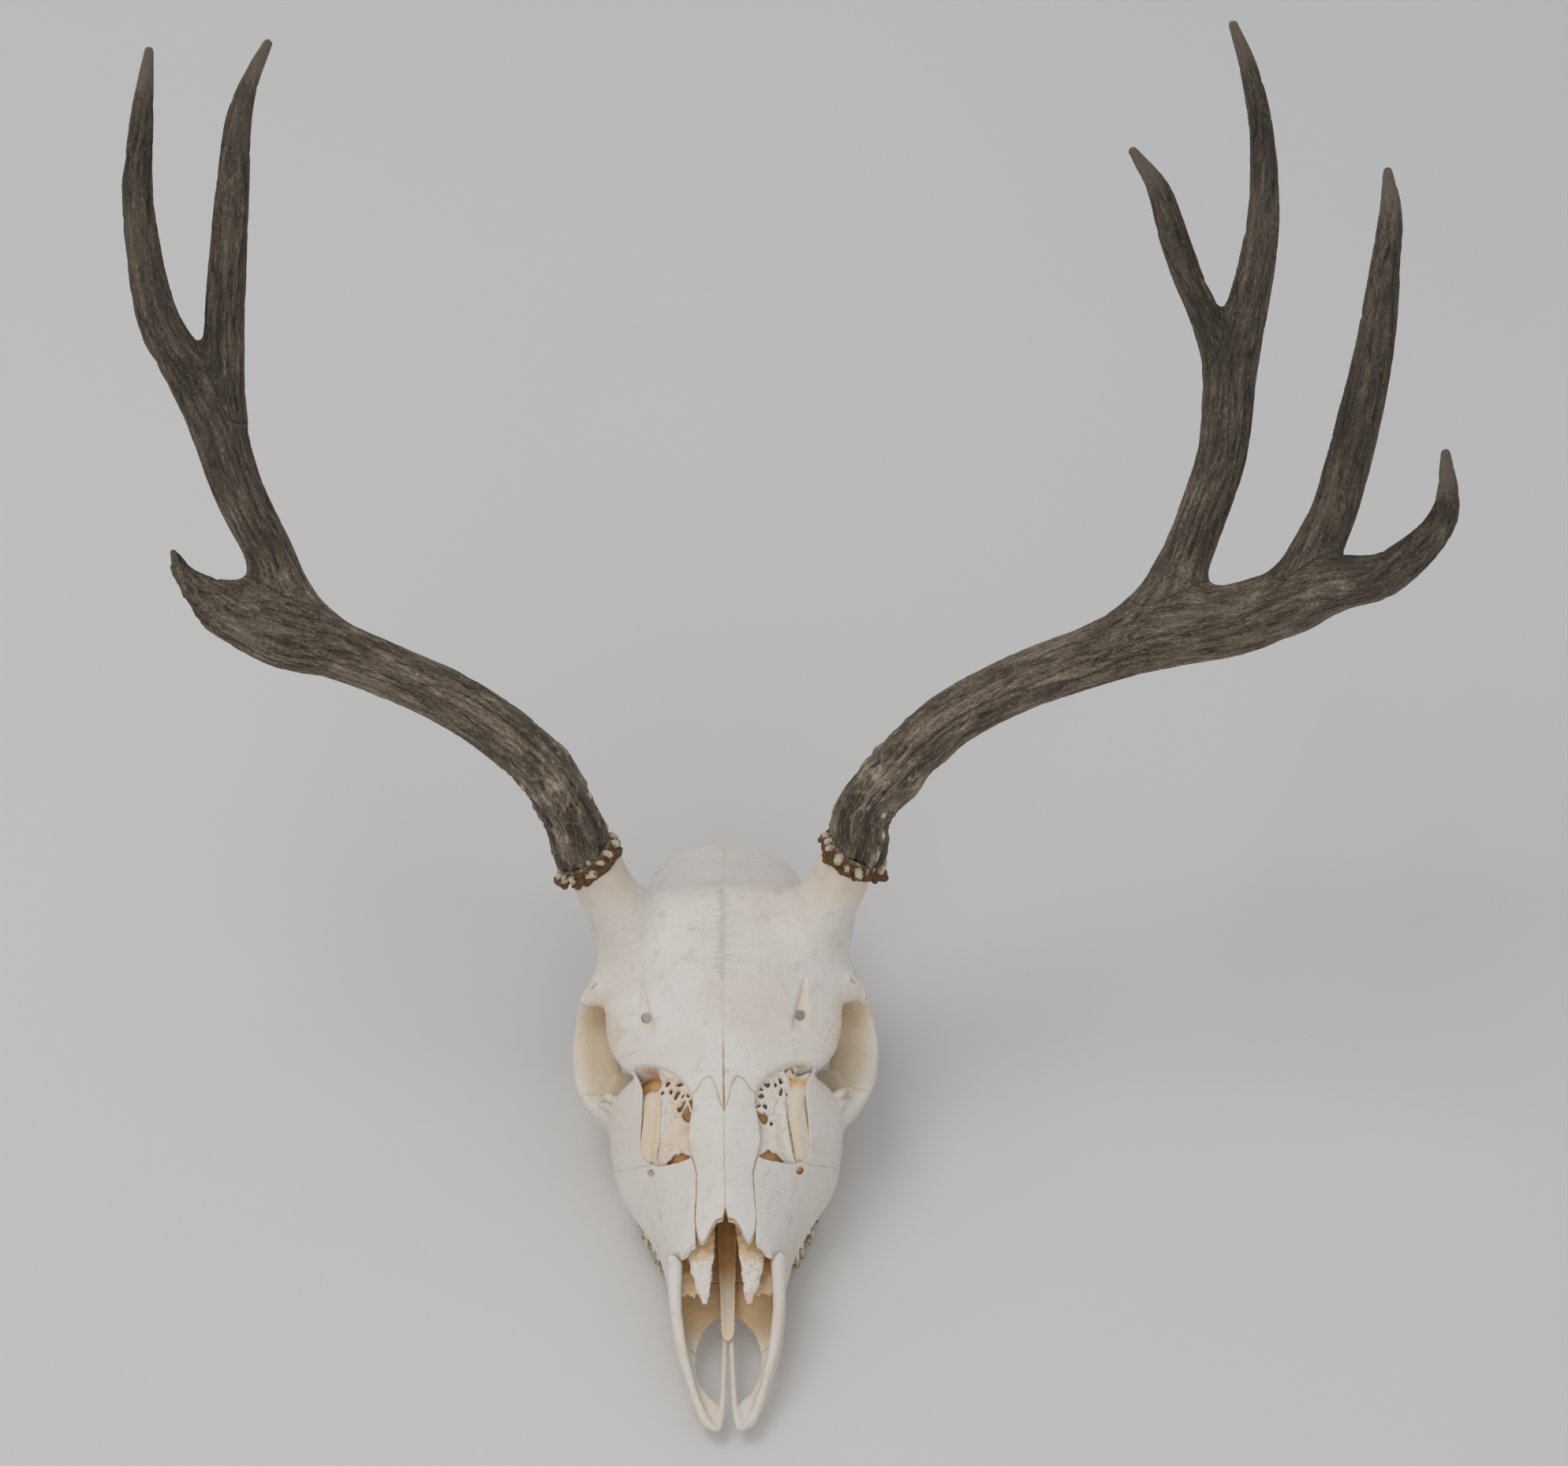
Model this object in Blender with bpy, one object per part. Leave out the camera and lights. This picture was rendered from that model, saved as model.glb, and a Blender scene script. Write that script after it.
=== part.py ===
"""Mule deer skull with antlers, life size, lying on its cheek teeth and the back of its skull.

Lengths in the tables are millimetres in the skull's own frame, measured from the front tip of
the muzzle: x to the skull's left, y back along the palate, z up from the level that the tooth
cusps rest on. Points become metres when a mesh is made. The last step moves the whole skull so
that the origin is at the bottom centre of its box.
"""

import math

import bmesh
import bpy
import numpy as np
from mathutils import Matrix, Vector

MM = 0.001
GAP = 0.3  # clearance between neighbouring bones
SLIVER = 0.004  # faces and edges smaller than this are closed up after each cut

# How finely the solids are faceted
SECTION_POINTS = 16
CORE_STEP = 8.0
TINE_SIDES = 10
TINE_STEPS = 2

FLAT_ANGLE = 2.0

# Face and braincase: y, half width, top, height of the widest line, bottom, squareness of the top
CORE = (
    (44, 22, 46, 28, 13, 2.0),
    (60, 25.4, 54, 30, 14, 2.0),
    (75, 29, 61.5, 27, 14, 1.8),
    (90, 36, 68.5, 24, 15, 1.7),
    (103, 45, 74.5, 29, 15, 1.8),
    (113, 48.5, 79, 34, 16, 1.9),
    (124, 50, 84, 42, 16, 2.1),
    (134, 48, 85, 44, 16, 2.3),
    (141, 24, 86, 46, 16, 2.4),
    (150, 20, 90, 52, 16, 2.6),
    (168, 20, 95, 56, 22, 2.6),
    (185, 28, 98, 60, 26, 2.4),
    (205, 34, 101, 62, 27, 2.2),
    (214, 35, 99, 62, 27, 2.1),
    (226, 35.5, 92, 60, 26, 2),
    (242, 35, 83, 57, 25, 2),
    (256, 32, 75, 52, 24, 2),
    (263, 26, 68, 48, 24, 2),
    (267, 16, 56, 42, 26, 2),
)
LOWER_SQUARE = 3.2
# The tooth-bearing bone under each orbit, in the same columns
ALVEOLAR = (
    (116, 43, 40, 26, 15, 2.6),
    (135, 42, 36, 24, 15, 2.6),
    (150, 40, 32, 23, 15, 2.6),
    (163, 37, 29, 22, 15, 2.6),
    (169, 27, 27, 22, 17, 2.2),
)
# Roof of the forehead: y, half width, top on the middle line, how far the edge lies below it
ROOF = (
    (121, 12, 80, 2),
    (129, 27, 86.5, 4),
    (136, 41, 89.5, 6.4),
    (144, 47.5, 92.5, 9),
    (154, 50.3, 96, 11),
    (166, 51.5, 100, 13.4),
    (174, 61, 102, 23),
    (180, 58, 103.5, 19),
    (188, 54, 105, 14),
    (199, 53, 107, 9),
    (206, 47, 107.5, 6),
    (213, 38, 104, 6),
    (219, 26, 94, 7),
)
ROOF_THICKNESS, ROOF_SQUARE, ROOF_BEND = 13.0, 2.6, 2.2
# Pedicle up to the burr, left side: x, y, z, radius
PEDICLE = (
    (36, 196, 88, 17), (43, 200.5, 101, 14.5), (49.3, 204, 113, 12.8), (54, 208, 126, 12.4),
    (57.6, 211, 136, 12.2),
)
# The burr sits on a plane through this point, its axis leaning outwards
BURR_BASE, BURR_AXIS = (54, 208, 126), (0.5, 0.22, 0.82)
BURR_RINGS = ((0.3, 14.5), (2.5, 17), (5.5, 16.8), (8.4, 13.8))  # height over that plane, radius
# Cheek bone, left side: the rim of the orbit with its wall running inwards, and the arch to the ear
ORBIT_RIM = (
    (44, 132, 48), (54, 134, 50), (61, 141, 50), (64, 152, 51), (65, 163, 54), (64.5, 171, 62),
    (62, 174.5, 71), (56, 177, 82),
)
ORBIT_APEX = (22, 170, 52)
ORBIT_WALL_DEPTH, ORBIT_WALL = 19.0, 5.0
ARCH = (
    (40, 127, 38.5), (50, 132.5, 41.5), (57.5, 141, 42.5), (61.5, 154.5, 44), (61, 174, 49), (57, 194, 51),
    (49, 211, 53), (32, 226, 56),
)
ARCH_DEPTHS, ARCH_THICKNESS = (18, 15, 14, 13, 12, 11, 12, 14), 6.0
# Base of the skull, left side
BULLA = ((20, 234, 24), (8, 13, 10))  # centre, half sizes
CONDYLE = ((14, 266, 32), (8, 8.5, 11))
JUGULAR = ((27, 252, 42, 8), (28.5, 255, 24, 6), (28, 256, 9, 4.4), (27, 254, 0.9, 3))
PTERYGOID = ((13, 160, 24, 4), (14, 172, 17, 3.5), (13, 184, 22, 3.5), (12, 194, 32, 5))
# Openings
NOSE_WALL = 4.0
NOSE_FRONT, NOSE_BACK = 36.0, 126.0
MUZZLE_PLANE = ((0, 62, 40), (0, -1, 0.1))  # between the maxilla and the muzzle bone
ORBITAL_HOLE, ORBITAL_HEIGHTS = (33, 152, 2.1), (72, 125)  # x, y, radius of the hole over each eye
FORAMEN_MAGNUM = ((0, 272, 44), (11, 16, 10))
CHOANA = ((0, 174, 16), (9, 22, 13))
# The opening beside the nasal bone, from above, and between which heights it is cut
GAP_HEIGHTS = (50, 130)
LACRIMAL_GAP = (
    (13.1, 96.8), (26.2, 98.6), (33.8, 102), (35.6, 107), (35.4, 113), (34.4, 127), (37.2, 134.8),
    (27, 132.6), (21.7, 129.7), (17.3, 125.8), (13.2, 119.4), (13.1, 116.5), (14.4, 110), (15, 104),
)
# Sutures. The nasal bone is drawn from above, the others from the side as y, z
NASAL_EDGE = 12.6
NASAL = (
    (-4, 76), (0, 75.6), (1.0, 72), (3.7, 71.6), (5.3, 69.8), (6.8, 67.2), (8.3, 65), (9.8, 64.3),
    (11.2, 65.6), (12.3, 69.2), (12.9, 74.4), (12.2, 82), (11.8, 90.7), (13.0, 95.5), (14.6, 99),
    (15.3, 104), (14.7, 110), (13.4, 116.5), (13.6, 120), (11.2, 121.2), (8.6, 124.8), (5.6, 125.9),
    (3.6, 122.6), (2.0, 117), (0, 113.2), (-4, 113.2),
)
NASAL_HEIGHTS = (44, 120)
ABOVE_HEIGHTS = (-30, 150)
MAXILLA = (
    (20, -20), (164, -20), (164, 28), (140, 34), (112, 34), (104, 48), (101.2, 56), (99.8, 60),
    (99.4, 120), (20, 120),
)
LACRIMAL = ((90, 30), (140, 34), (140, 70), (139, 120), (90, 120))
# The lacrimal from above: it stops at the outer corner of the opening beside the nose
LACRIMAL_ABOVE = ((27, 88), (90, 88), (90, 138.4), (46, 137), (37.6, 134.6), (33, 130.4), (27, 130.4))
SPHENOID = ((164.3, -20), (260, -20), (260, 40), (190, 42), (164.3, 36))
CORONAL_PLANE = ((0, 220, 100), (0, 0.963, -0.27))
OCCIPUT_PLANE = 249.0
# Cheek teeth: where each one starts, then along the row y, outer face, width
TOOTH_STARTS = (78, 90, 101, 112, 127, 143, 159)
TOOTH_ROW = ((78, 27.5, 9), (90, 33.5, 11), (103, 38.5, 13), (130, 41, 15), (159, 39, 13))
TOOTH_TOP = 20.0
CUSP_DEPTH = 3.2
CUSP_PROFILE = ((0.04, 0.9), (0.3, 0), (0.65, 0.2))  # along a tooth, and how far the crown rises there
# Muzzle bones, left side: y, outer face, top, inner face of the wall, top of the shelf, end of the shelf
PREMAXILLA = (
    (0.6, 7.4, 10.8, 4.8, 9.9, 3.2),
    (4, 11, 11.6, 7.2, 10.2, 2.8),
    (10, 13.8, 13.4, 10, 10.6, 3.8),
    (18, 16.8, 17.6, 13.4, 11.2, 9.5),
    (32, 21.5, 25, 17, 12.8, 13),
    (46, 23.9, 33.6, 19, 14.4, 10.5),
    (56, 24.6, 40.8, 18.8, 15.8, 5),
    (66, 25.4, 45, 18.6, 17, 2.5),
)
SHELF_THICKNESS = 2.4
PALATE_ROD = ((4, 6, 9.6, 1.6), (3, 13, 10.6, 1.4), (2.3, 27, 12.4, 1.2), (1.7, 45, 15, 1))
VOMER = (
    (38, 2.2, 16.5, 19), (42, 3.1, 16.8, 20), (55, 3.4, 18.2, 23), (85, 4.4, 19.5, 31), (114, 4, 21, 36),
)
TURBINATE = (
    (9.2, 47, 34.2, 1.4), (10.2, 55.6, 38.4, 3.2), (10.6, 63, 42.4, 4.4), (10.8, 74, 45, 4.8),
    (11.4, 90, 47, 5),
)
ETHMOID = ((16, 111, 50), (9, 12, 15))

# Antlers: x, y, z and radius along each length, from its root to its tip
LEFT_BEAM = (
    (61, 220, 144, 12.7), (73, 229, 156, 12.5), (86, 237, 168, 12.3), (101, 243, 179, 12.1),
    (127, 249, 192, 12.2), (157, 252, 205, 12.9), (184, 254, 217, 15),
)
LEFT_FRONT = (
    (213, 250, 228, 14.8), (236, 248, 242, 13.4), (253, 244, 256, 11.4), (269, 238, 267, 9.2),
    (282, 235, 287, 7.3), (288, 234, 304, 5.8), (288, 235, 319, 4.3), (284.7, 237.2, 339, 1.3),
)
LEFT_FRONT_TINE = (
    (236, 248, 243, 12), (248, 264, 261, 10.2), (254, 273, 273, 9.4), (261, 289, 296, 9.1),
    (268, 310, 320, 8.1), (272, 330, 341, 6.7), (275, 349, 359, 4.9), (274, 363.6, 372.4, 1.3),
)
LEFT_REAR = (
    (184, 258, 220, 12.5), (191, 270, 231, 11.4), (198, 281, 242, 10.4), (211, 306, 268, 10.4),
    (215, 331, 292, 11), (222, 350, 311, 8.8), (227, 366, 327, 7.5), (229, 383, 345, 6.3),
    (227, 401, 366, 5.2), (222, 413, 384, 3.8), (214.3, 421, 402, 1.3),
)
LEFT_REAR_TINE = (
    (213, 331, 292, 8.5), (204, 347, 309, 6.8), (197, 355, 322, 6.3), (190, 364, 339, 6),
    (184, 372, 355, 4.7), (172, 377.6, 372.8, 1.3),
)
RIGHT_BEAM = (
    (-64, 221, 145, 12.4), (-74, 232, 160, 12.4), (-91, 242, 174, 12.3), (-112, 250, 187, 11.9),
    (-136, 255, 199, 11.6), (-159, 258, 211, 12.4), (-181, 259, 222, 14.6),
)
RIGHT_FRONT = (
    (-198, 260, 233, 12.6), (-208, 259.5, 241.5, 9.6), (-215.5, 261.5, 252, 5.6), (-219, 264.8, 264, 1.8),
)
RIGHT_REAR = (
    (-174, 264, 218, 12.5), (-180, 275, 232, 11), (-185, 284, 244, 10.2), (-197, 303, 264, 10.6),
    (-205, 322, 284, 11.6), (-216, 336, 300, 10), (-226, 348, 314, 8.9), (-231, 366, 331, 7.5),
    (-233, 385, 352, 6.6), (-230, 404, 373, 5.1), (-224.6, 420.2, 399, 1.3),
)
RIGHT_REAR_TINE = (
    (-201, 322, 285, 9.4), (-200, 345, 308, 8.6), (-197, 365, 331, 7.8), (-193, 388, 358, 6.7),
    (-190, 401, 375, 5.4), (-184, 410, 389, 3.7), (-175, 417, 403.8, 1.3),
)
# The right antler's front fork is snapped off along a slope through this point, facing outwards
BREAK = ((-215.5, 256.5, 246), (-0.85, -0.2, -0.33))

# Finishes: linear red, green, blue, then roughness
BONE = ((0.80, 0.75, 0.66), 0.55)
INNER_BONE = ((0.62, 0.50, 0.36), 0.6)
ANTLER = ((0.15, 0.11, 0.075), 0.6)
BURR = ((0.24, 0.16, 0.08), 0.65)


def clear_scene():
    for obj in list(bpy.data.objects):
        bpy.data.objects.remove(obj)


def material(name, finish):
    made = bpy.data.materials.new(name)
    made.use_nodes = True
    shader = made.node_tree.nodes["Principled BSDF"]
    shader.inputs["Base Color"].default_value = (*finish[0], 1)
    shader.inputs["Roughness"].default_value = finish[1]
    shader.inputs["Metallic"].default_value = 0
    return made


# ---- shapes ----


def smooth_path(stations, steps):
    """Points of a Catmull-Rom curve through the stations, with steps spans between two of them."""
    s = np.array(stations, float)
    padded = np.vstack([2 * s[0] - s[1], s, 2 * s[-1] - s[-2]])
    out = []
    for a, b, c, d in zip(padded, padded[1:], padded[2:], padded[3:]):
        for t in np.arange(steps) / steps:
            bend = (2 * a - 5 * b + 4 * c - d) * t**2 + (3 * b - a - 3 * c + d) * t**3
            out.append((2 * b + (c - a) * t + bend) / 2)
    return np.array(out + [s[-1]])


def place(name, bm):
    bmesh.ops.recalc_face_normals(bm, faces=bm.faces)
    mesh = bpy.data.meshes.new(name)
    bm.to_mesh(mesh)
    bm.free()
    made = bpy.data.objects.new(name, mesh)
    bpy.context.scene.collection.objects.link(made)
    return made


def loft(name, rings):
    """A closed skin over rings of points, with a flat cap on each end."""
    bm = bmesh.new()
    rows = [[bm.verts.new(Vector(p) * MM) for p in ring] for ring in rings]
    for near, far in zip(rows, rows[1:]):
        for i in range(len(near)):
            j = (i + 1) % len(near)
            bm.faces.new((near[i], near[j], far[j], far[i]))
    bm.faces.new(rows[0])
    bm.faces.new(rows[-1])
    return place(name, bm)


def ball(name, centre, half_sizes, rings=8, sides=12):
    bm = bmesh.new()
    bmesh.ops.create_uvsphere(bm, u_segments=sides, v_segments=rings, radius=1)
    bmesh.ops.transform(bm, verts=bm.verts, matrix=Matrix.Diagonal(Vector(half_sizes) * MM).to_4x4())
    bmesh.ops.translate(bm, verts=bm.verts, vec=Vector(centre) * MM)
    return place(name, bm)


def prism(name, outline, heights):
    """An outline seen from above, raised from one height to another."""
    return loft(name, [[(x, y, z) for x, y in outline] for z in heights])


def side_prism(name, outline, across=(-90, 90)):
    """An outline seen from the side as y, z, running across the skull."""
    return loft(name, [[(x, y, z) for y, z in outline] for x in across])


def grown_outline(outline, by):
    """The outline with every side moved outwards, its corners kept sharp."""
    points = [Vector(p) for p in outline]
    n = len(points)
    area = sum(a.x * b.y - b.x * a.y for a, b in zip(points, points[1:] + points[:1]))
    turn = 1 if area > 0 else -1
    grown = []
    for i, point in enumerate(points):
        before = (point - points[i - 1]).normalized()
        after = (points[(i + 1) % n] - point).normalized()
        normal_a = Vector((before.y, -before.x)) * turn
        normal_b = Vector((after.y, -after.x)) * turn
        miter = normal_a + normal_b
        grown.append(point + miter * by / max(0.3, miter.dot(normal_a)))
    return [tuple(p) for p in grown]


def power(value, exponent):
    return math.copysign(abs(value) ** exponent, value)


def core_ring(y, width, top, middle, bottom, square, wall=0.0):
    """One section of the face or braincase, drawn inwards by wall."""
    width, top, bottom = width - wall, top - wall, bottom + wall
    ring = []
    for i in range(SECTION_POINTS):
        a = 2 * math.pi * i / SECTION_POINTS
        upper = math.sin(a) > 0
        n = square if upper else LOWER_SQUARE
        reach = (top - middle) if upper else (middle - bottom)
        ring.append((width * power(math.cos(a), 2 / n), y, middle + reach * power(math.sin(a), 2 / n)))
    return ring


def evenly(table, front, back, step):
    """Rows of a table read evenly along y, its first column."""
    path = smooth_path(table, 6)
    count = max(2, round((back - front) / step) + 1)
    return [
        [y, *(np.interp(y, path[:, 0], path[:, k]) for k in range(1, path.shape[1]))]
        for y in np.linspace(front, back, count)
    ]


def core(wall=0.0, front=CORE[0][0], back=CORE[-1][0]):
    return [core_ring(*row, wall=wall) for row in evenly(CORE, front, back, CORE_STEP)]


def roof_ring(y, width, top, drop, grow=0.0):
    ring = []
    for i in range(SECTION_POINTS):
        a = 2 * math.pi * i / SECTION_POINTS
        x = width * power(math.cos(a), 2 / ROOF_SQUARE)
        bend = drop * abs(x / width) ** ROOF_BEND
        half = ROOF_THICKNESS / 2
        lift = (half + grow) * power(math.sin(a), 2 / ROOF_SQUARE)
        ring.append((x * (1 + grow / width), y, top - bend - half + lift))
    return ring


def roof(grow=0.0):
    return [roof_ring(*row, grow=grow) for row in evenly(ROOF, ROOF[0][0], ROOF[-1][0], CORE_STEP)]


def along_path(points, k):
    a, b = points[max(k - 1, 0)], points[min(k + 1, len(points) - 1)]
    return (b - a).normalized()


def tube(name, stations, sides=TINE_SIDES, steps=TINE_STEPS, grow=0.0):
    """A round bar through x, y, z with a radius at each station. Its rings keep one twist all along."""
    path = smooth_path(stations, steps)
    points = [Vector(row[:3]) for row in path]
    side = Vector((0.3, -0.4, 0.86)).cross(along_path(points, 0))
    rings = []
    for k, (point, radius) in enumerate(zip(points, path[:, 3])):
        along = along_path(points, k)
        side = (side - along * side.dot(along)).normalized()
        up = along.cross(side)
        turns = [2 * math.pi * i / sides for i in range(sides)]
        reach = float(radius) + grow
        rings.append([point + (side * math.cos(a) + up * math.sin(a)) * reach for a in turns])
    return loft(name, rings)


def blade(name, stations, depths, thickness, broad_at, inwards=0.0, sides=8, steps=2):
    """A flattened bar. broad_at gives its broad way at a point, and inwards moves it along that way."""
    points = [Vector(p) for p in smooth_path(stations, steps)]
    rings = []
    for k, point in enumerate(points):
        along = along_path(points, k)
        broad = broad_at(point)
        broad = (broad - along * broad.dot(along)).normalized()
        across = along.cross(broad) * thickness / 2
        depth = float(np.interp(k / (len(points) - 1), np.linspace(0, 1, len(depths)), depths))
        centre = point + broad * depth * inwards
        turns = [2 * math.pi * i / sides for i in range(sides)]
        rings.append([centre + broad * math.cos(a) * depth / 2 + across * math.sin(a) for a in turns])
    return loft(name, rings)


# ---- joining and parting ----


def weld(mesh):
    bm = bmesh.new()
    bm.from_mesh(mesh)
    bmesh.ops.triangulate(bm, faces=bm.faces)
    bmesh.ops.remove_doubles(bm, verts=bm.verts, dist=SLIVER * MM)
    bmesh.ops.dissolve_degenerate(bm, edges=bm.edges, dist=SLIVER * MM)
    bm.to_mesh(mesh)
    bm.free()


def flatten(mesh):
    """Merges faces that lie almost in one plane."""
    bm = bmesh.new()
    bm.from_mesh(mesh)
    limit = math.radians(FLAT_ANGLE)
    bmesh.ops.dissolve_limit(bm, angle_limit=limit, verts=bm.verts, edges=bm.edges)
    bmesh.ops.triangulate(bm, faces=bm.faces)
    bm.to_mesh(mesh)
    bm.free()


def combine(base, other, operation, keep_other=False):
    """Unites, cuts or intersects two solids and leaves the result in base."""
    step = base.modifiers.new(operation, "BOOLEAN")
    step.operation = operation
    step.solver = "EXACT"
    step.object = other
    bpy.context.view_layer.update()
    graph = bpy.context.evaluated_depsgraph_get()
    made = bpy.data.meshes.new_from_object(base.evaluated_get(graph))
    base.modifiers.clear()
    base.data = made
    weld(base.data)
    if not keep_other:
        bpy.data.objects.remove(other)
    return base


def join(base, *others):
    for other in others:
        combine(base, other, "UNION")
    return base


def cut(base, *others):
    for other in others:
        combine(base, other, "DIFFERENCE")
    return base


def copy_of(obj, name):
    made = obj.copy()
    made.data = obj.data.copy()
    made.name = name
    bpy.context.scene.collection.objects.link(made)
    return made


def mirror(rows):
    """The same table or outline on the other side of the skull."""
    return [(-row[0], *row[1:]) for row in rows]


def mirrored(obj, name):
    made = copy_of(obj, name)
    made.data.transform(Matrix.Diagonal((-1, 1, 1, 1)))
    made.data.flip_normals()
    return made


def half_space(point, normal):
    """A large block that fills one side of a plane, the side its normal points to."""
    reach = 700.0
    square = [(-reach, -reach), (reach, -reach), (reach, reach), (-reach, reach)]
    block = prism("half_space", square, (0, reach))
    turn = Vector(normal).to_track_quat("Z", "Y").to_matrix().to_4x4()
    block.data.transform(Matrix.Translation(Vector(point) * MM) @ turn)
    return block


def part_at_plane(obj, name, point, normal):
    """Parts a solid by a plane. The side that the normal points to comes back as the new solid."""
    n = Vector(normal).normalized()
    far = copy_of(obj, name)
    combine(far, half_space(Vector(point) + n * GAP / 2, n), "INTERSECT")
    combine(obj, half_space(Vector(point) - n * GAP / 2, n), "DIFFERENCE")
    return far


def part_off(obj, name, region, grown_region):
    """Takes the piece inside a region out of a solid, and clears a gap round it."""
    piece = combine(copy_of(obj, name), region, "INTERSECT")
    cut(obj, grown_region)
    return piece


def part_off_side(obj, name, outline, above=None):
    """Parts off what lies in an outline seen from the side, and if above is given, in that from above."""
    region = side_prism("region", outline)
    grown = side_prism("grown", grown_outline(outline, GAP))
    if above:
        combine(region, prism("above", above, ABOVE_HEIGHTS), "INTERSECT")
        combine(grown, prism("above", grown_outline(above, GAP), ABOVE_HEIGHTS), "INTERSECT")
    return part_off(obj, name, region, grown)


def both_sides(make, rows, *rest):
    return [make("piece", side, *rest) for side in (rows, mirror(rows))]


def burr_axis(side):
    x, y, z = Vector(BURR_AXIS).normalized()
    return Vector((side * x, y, z))


def over_pedicle(side, height):
    """The point on a burr's axis at a height over the end of its pedicle."""
    x, y, z = BURR_BASE
    return Vector((side * x, y, z)) + burr_axis(side) * height


# ---- skull ----


def whole_skull():
    """Face, forehead and braincase in one, with the nose cavity and the other openings cut."""
    skull = loft("skull", core())
    join(skull, loft("alveolar", [core_ring(*row) for row in smooth_path(ALVEOLAR, 2)]))
    join(skull, loft("roof", roof()))
    for side, pedicle in zip((1, -1), both_sides(tube, PEDICLE, 12, 2)):
        join(skull, cut(pedicle, half_space(over_pedicle(side, 0), burr_axis(side))))
    join(skull, *both_sides(tube, PTERYGOID, 8, 2))
    nose = core(NOSE_WALL, CORE[0][0], NOSE_BACK)
    mouth = [(x, NOSE_FRONT, z) for x, _, z in nose[0]]
    cut(skull, loft("nose", [mouth, *nose]))
    cut(skull, ball("foramen", *FORAMEN_MAGNUM), ball("choana", *CHOANA))
    cut(skull, *both_sides(prism, LACRIMAL_GAP, GAP_HEIGHTS))
    x, y, radius = ORBITAL_HOLE
    cut(skull, *both_sides(tube, [(x, y, z, radius) for z in ORBITAL_HEIGHTS], 8, 1))
    return skull


def tooth_row():
    """One side's cheek teeth, each with two low cusps."""
    table = np.array(TOOTH_ROW, float)
    rings = []
    for start, end in zip(TOOTH_STARTS, TOOTH_STARTS[1:]):
        for share, rise in CUSP_PROFILE:
            y = start + share * (end - start)
            outer = np.interp(y, table[:, 0], table[:, 1])
            inner = outer - np.interp(y, table[:, 0], table[:, 2])
            low = rise * CUSP_DEPTH
            rings.append([
                (outer, y, low), (outer + 0.8, y, TOOTH_TOP), (inner, y, TOOTH_TOP),
                (inner + 0.6, y, low + 1.2), ((outer + inner) / 2, y, low + 2.4),
            ])
    return loft("tooth_row", rings)


def face_bones(left):
    """The left half of the face and forehead, parted along its sutures."""
    region = prism("region", NASAL, NASAL_HEIGHTS)
    outline = grown_outline(NASAL, GAP)
    grown = prism("grown", outline, (NASAL_HEIGHTS[0] - GAP, NASAL_HEIGHTS[1]))
    bones = {"nasal": part_off(left, "nasal", region, grown)}
    edge = NASAL_EDGE + GAP
    notch = [(-4, NOSE_FRONT), (edge, NOSE_FRONT), (edge, 80), (-4, 80)]
    cut(left, prism("notch", notch, (NASAL_HEIGHTS[0] - GAP, NASAL_HEIGHTS[1])))
    bones["maxilla"] = part_off_side(left, "maxilla", MAXILLA)
    bones["lacrimal"] = part_off_side(left, "lacrimal", LACRIMAL, LACRIMAL_ABOVE)
    bones["frontal"] = left
    cut(bones["maxilla"], half_space(*MUZZLE_PLANE))
    join(bones["maxilla"], tooth_row())
    return bones


def cheek_bone():
    """The wall round the orbit and the arch, cut back from the bones that they meet."""
    apex = Vector(ORBIT_APEX)
    wall = blade("wall", ORBIT_RIM, (ORBIT_WALL_DEPTH,), ORBIT_WALL, lambda p: apex - p, inwards=0.5)
    arch = blade("arch", ARCH, ARCH_DEPTHS, ARCH_THICKNESS, lambda p: Vector((0.2, 0, 1)))
    grown_alveolar = [core_ring(*row, wall=-GAP) for row in smooth_path(ALVEOLAR, 2)]
    cheek = join(wall, arch)
    return cut(cheek, loft("core", core(-GAP)), loft("alveolar", grown_alveolar), loft("roof", roof(GAP)))


def back_of_skull(skull):
    braincase = part_at_plane(skull, "braincase", *CORONAL_PLANE)
    occipital = part_at_plane(braincase, "occipital", (0, OCCIPUT_PLANE, 60), (0, 1, 0))
    for side in (1, -1):
        (x, y, z), half_sizes = CONDYLE
        join(occipital, ball("condyle", (side * x, y, z), half_sizes))
    join(occipital, *both_sides(tube, JUGULAR, 8, 2))
    cut(occipital, half_space((0, OCCIPUT_PLANE + GAP / 2, 60), (0, -1, 0)))
    return braincase, occipital


def bullae():
    centre, half_sizes = BULLA
    bulla = ball("bulla", centre, half_sizes)
    cut(bulla, loft("core", core(-GAP)), half_space((0, OCCIPUT_PLANE - GAP / 2, 0), (0, 1, 0)))
    return bulla


def premaxilla():
    """The wall and shelf at the side of the muzzle, and the rod beside the middle."""
    rings = []
    for y, outer, top, inner, shelf, end in smooth_path(PREMAXILLA, 2):
        low = shelf - SHELF_THICKNESS
        rings.append([
            (outer, y, top - 1), ((outer + inner) / 2, y, top), (inner, y, top - 0.8), (inner - 1, y, shelf),
            (end, y, shelf), (end, y, low), (outer - 2.5, y, low),
        ])
    muzzle = join(loft("muzzle", rings), tube("rod", PALATE_ROD, 6, 2))
    (x, y, z), normal = MUZZLE_PLANE
    return cut(muzzle, half_space((x, y - GAP, z), -Vector(normal)))


def vomer():
    """A keel with a trough along its top, from the floor of the nose."""
    rings = []
    for y, half, low, high in smooth_path(VOMER, 3):
        rings.append([(0.8, y, low), (half, y, high), (0, y, high - 2), (-half, y, high), (-0.8, y, low)])
    return loft("vomer", rings)


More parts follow.
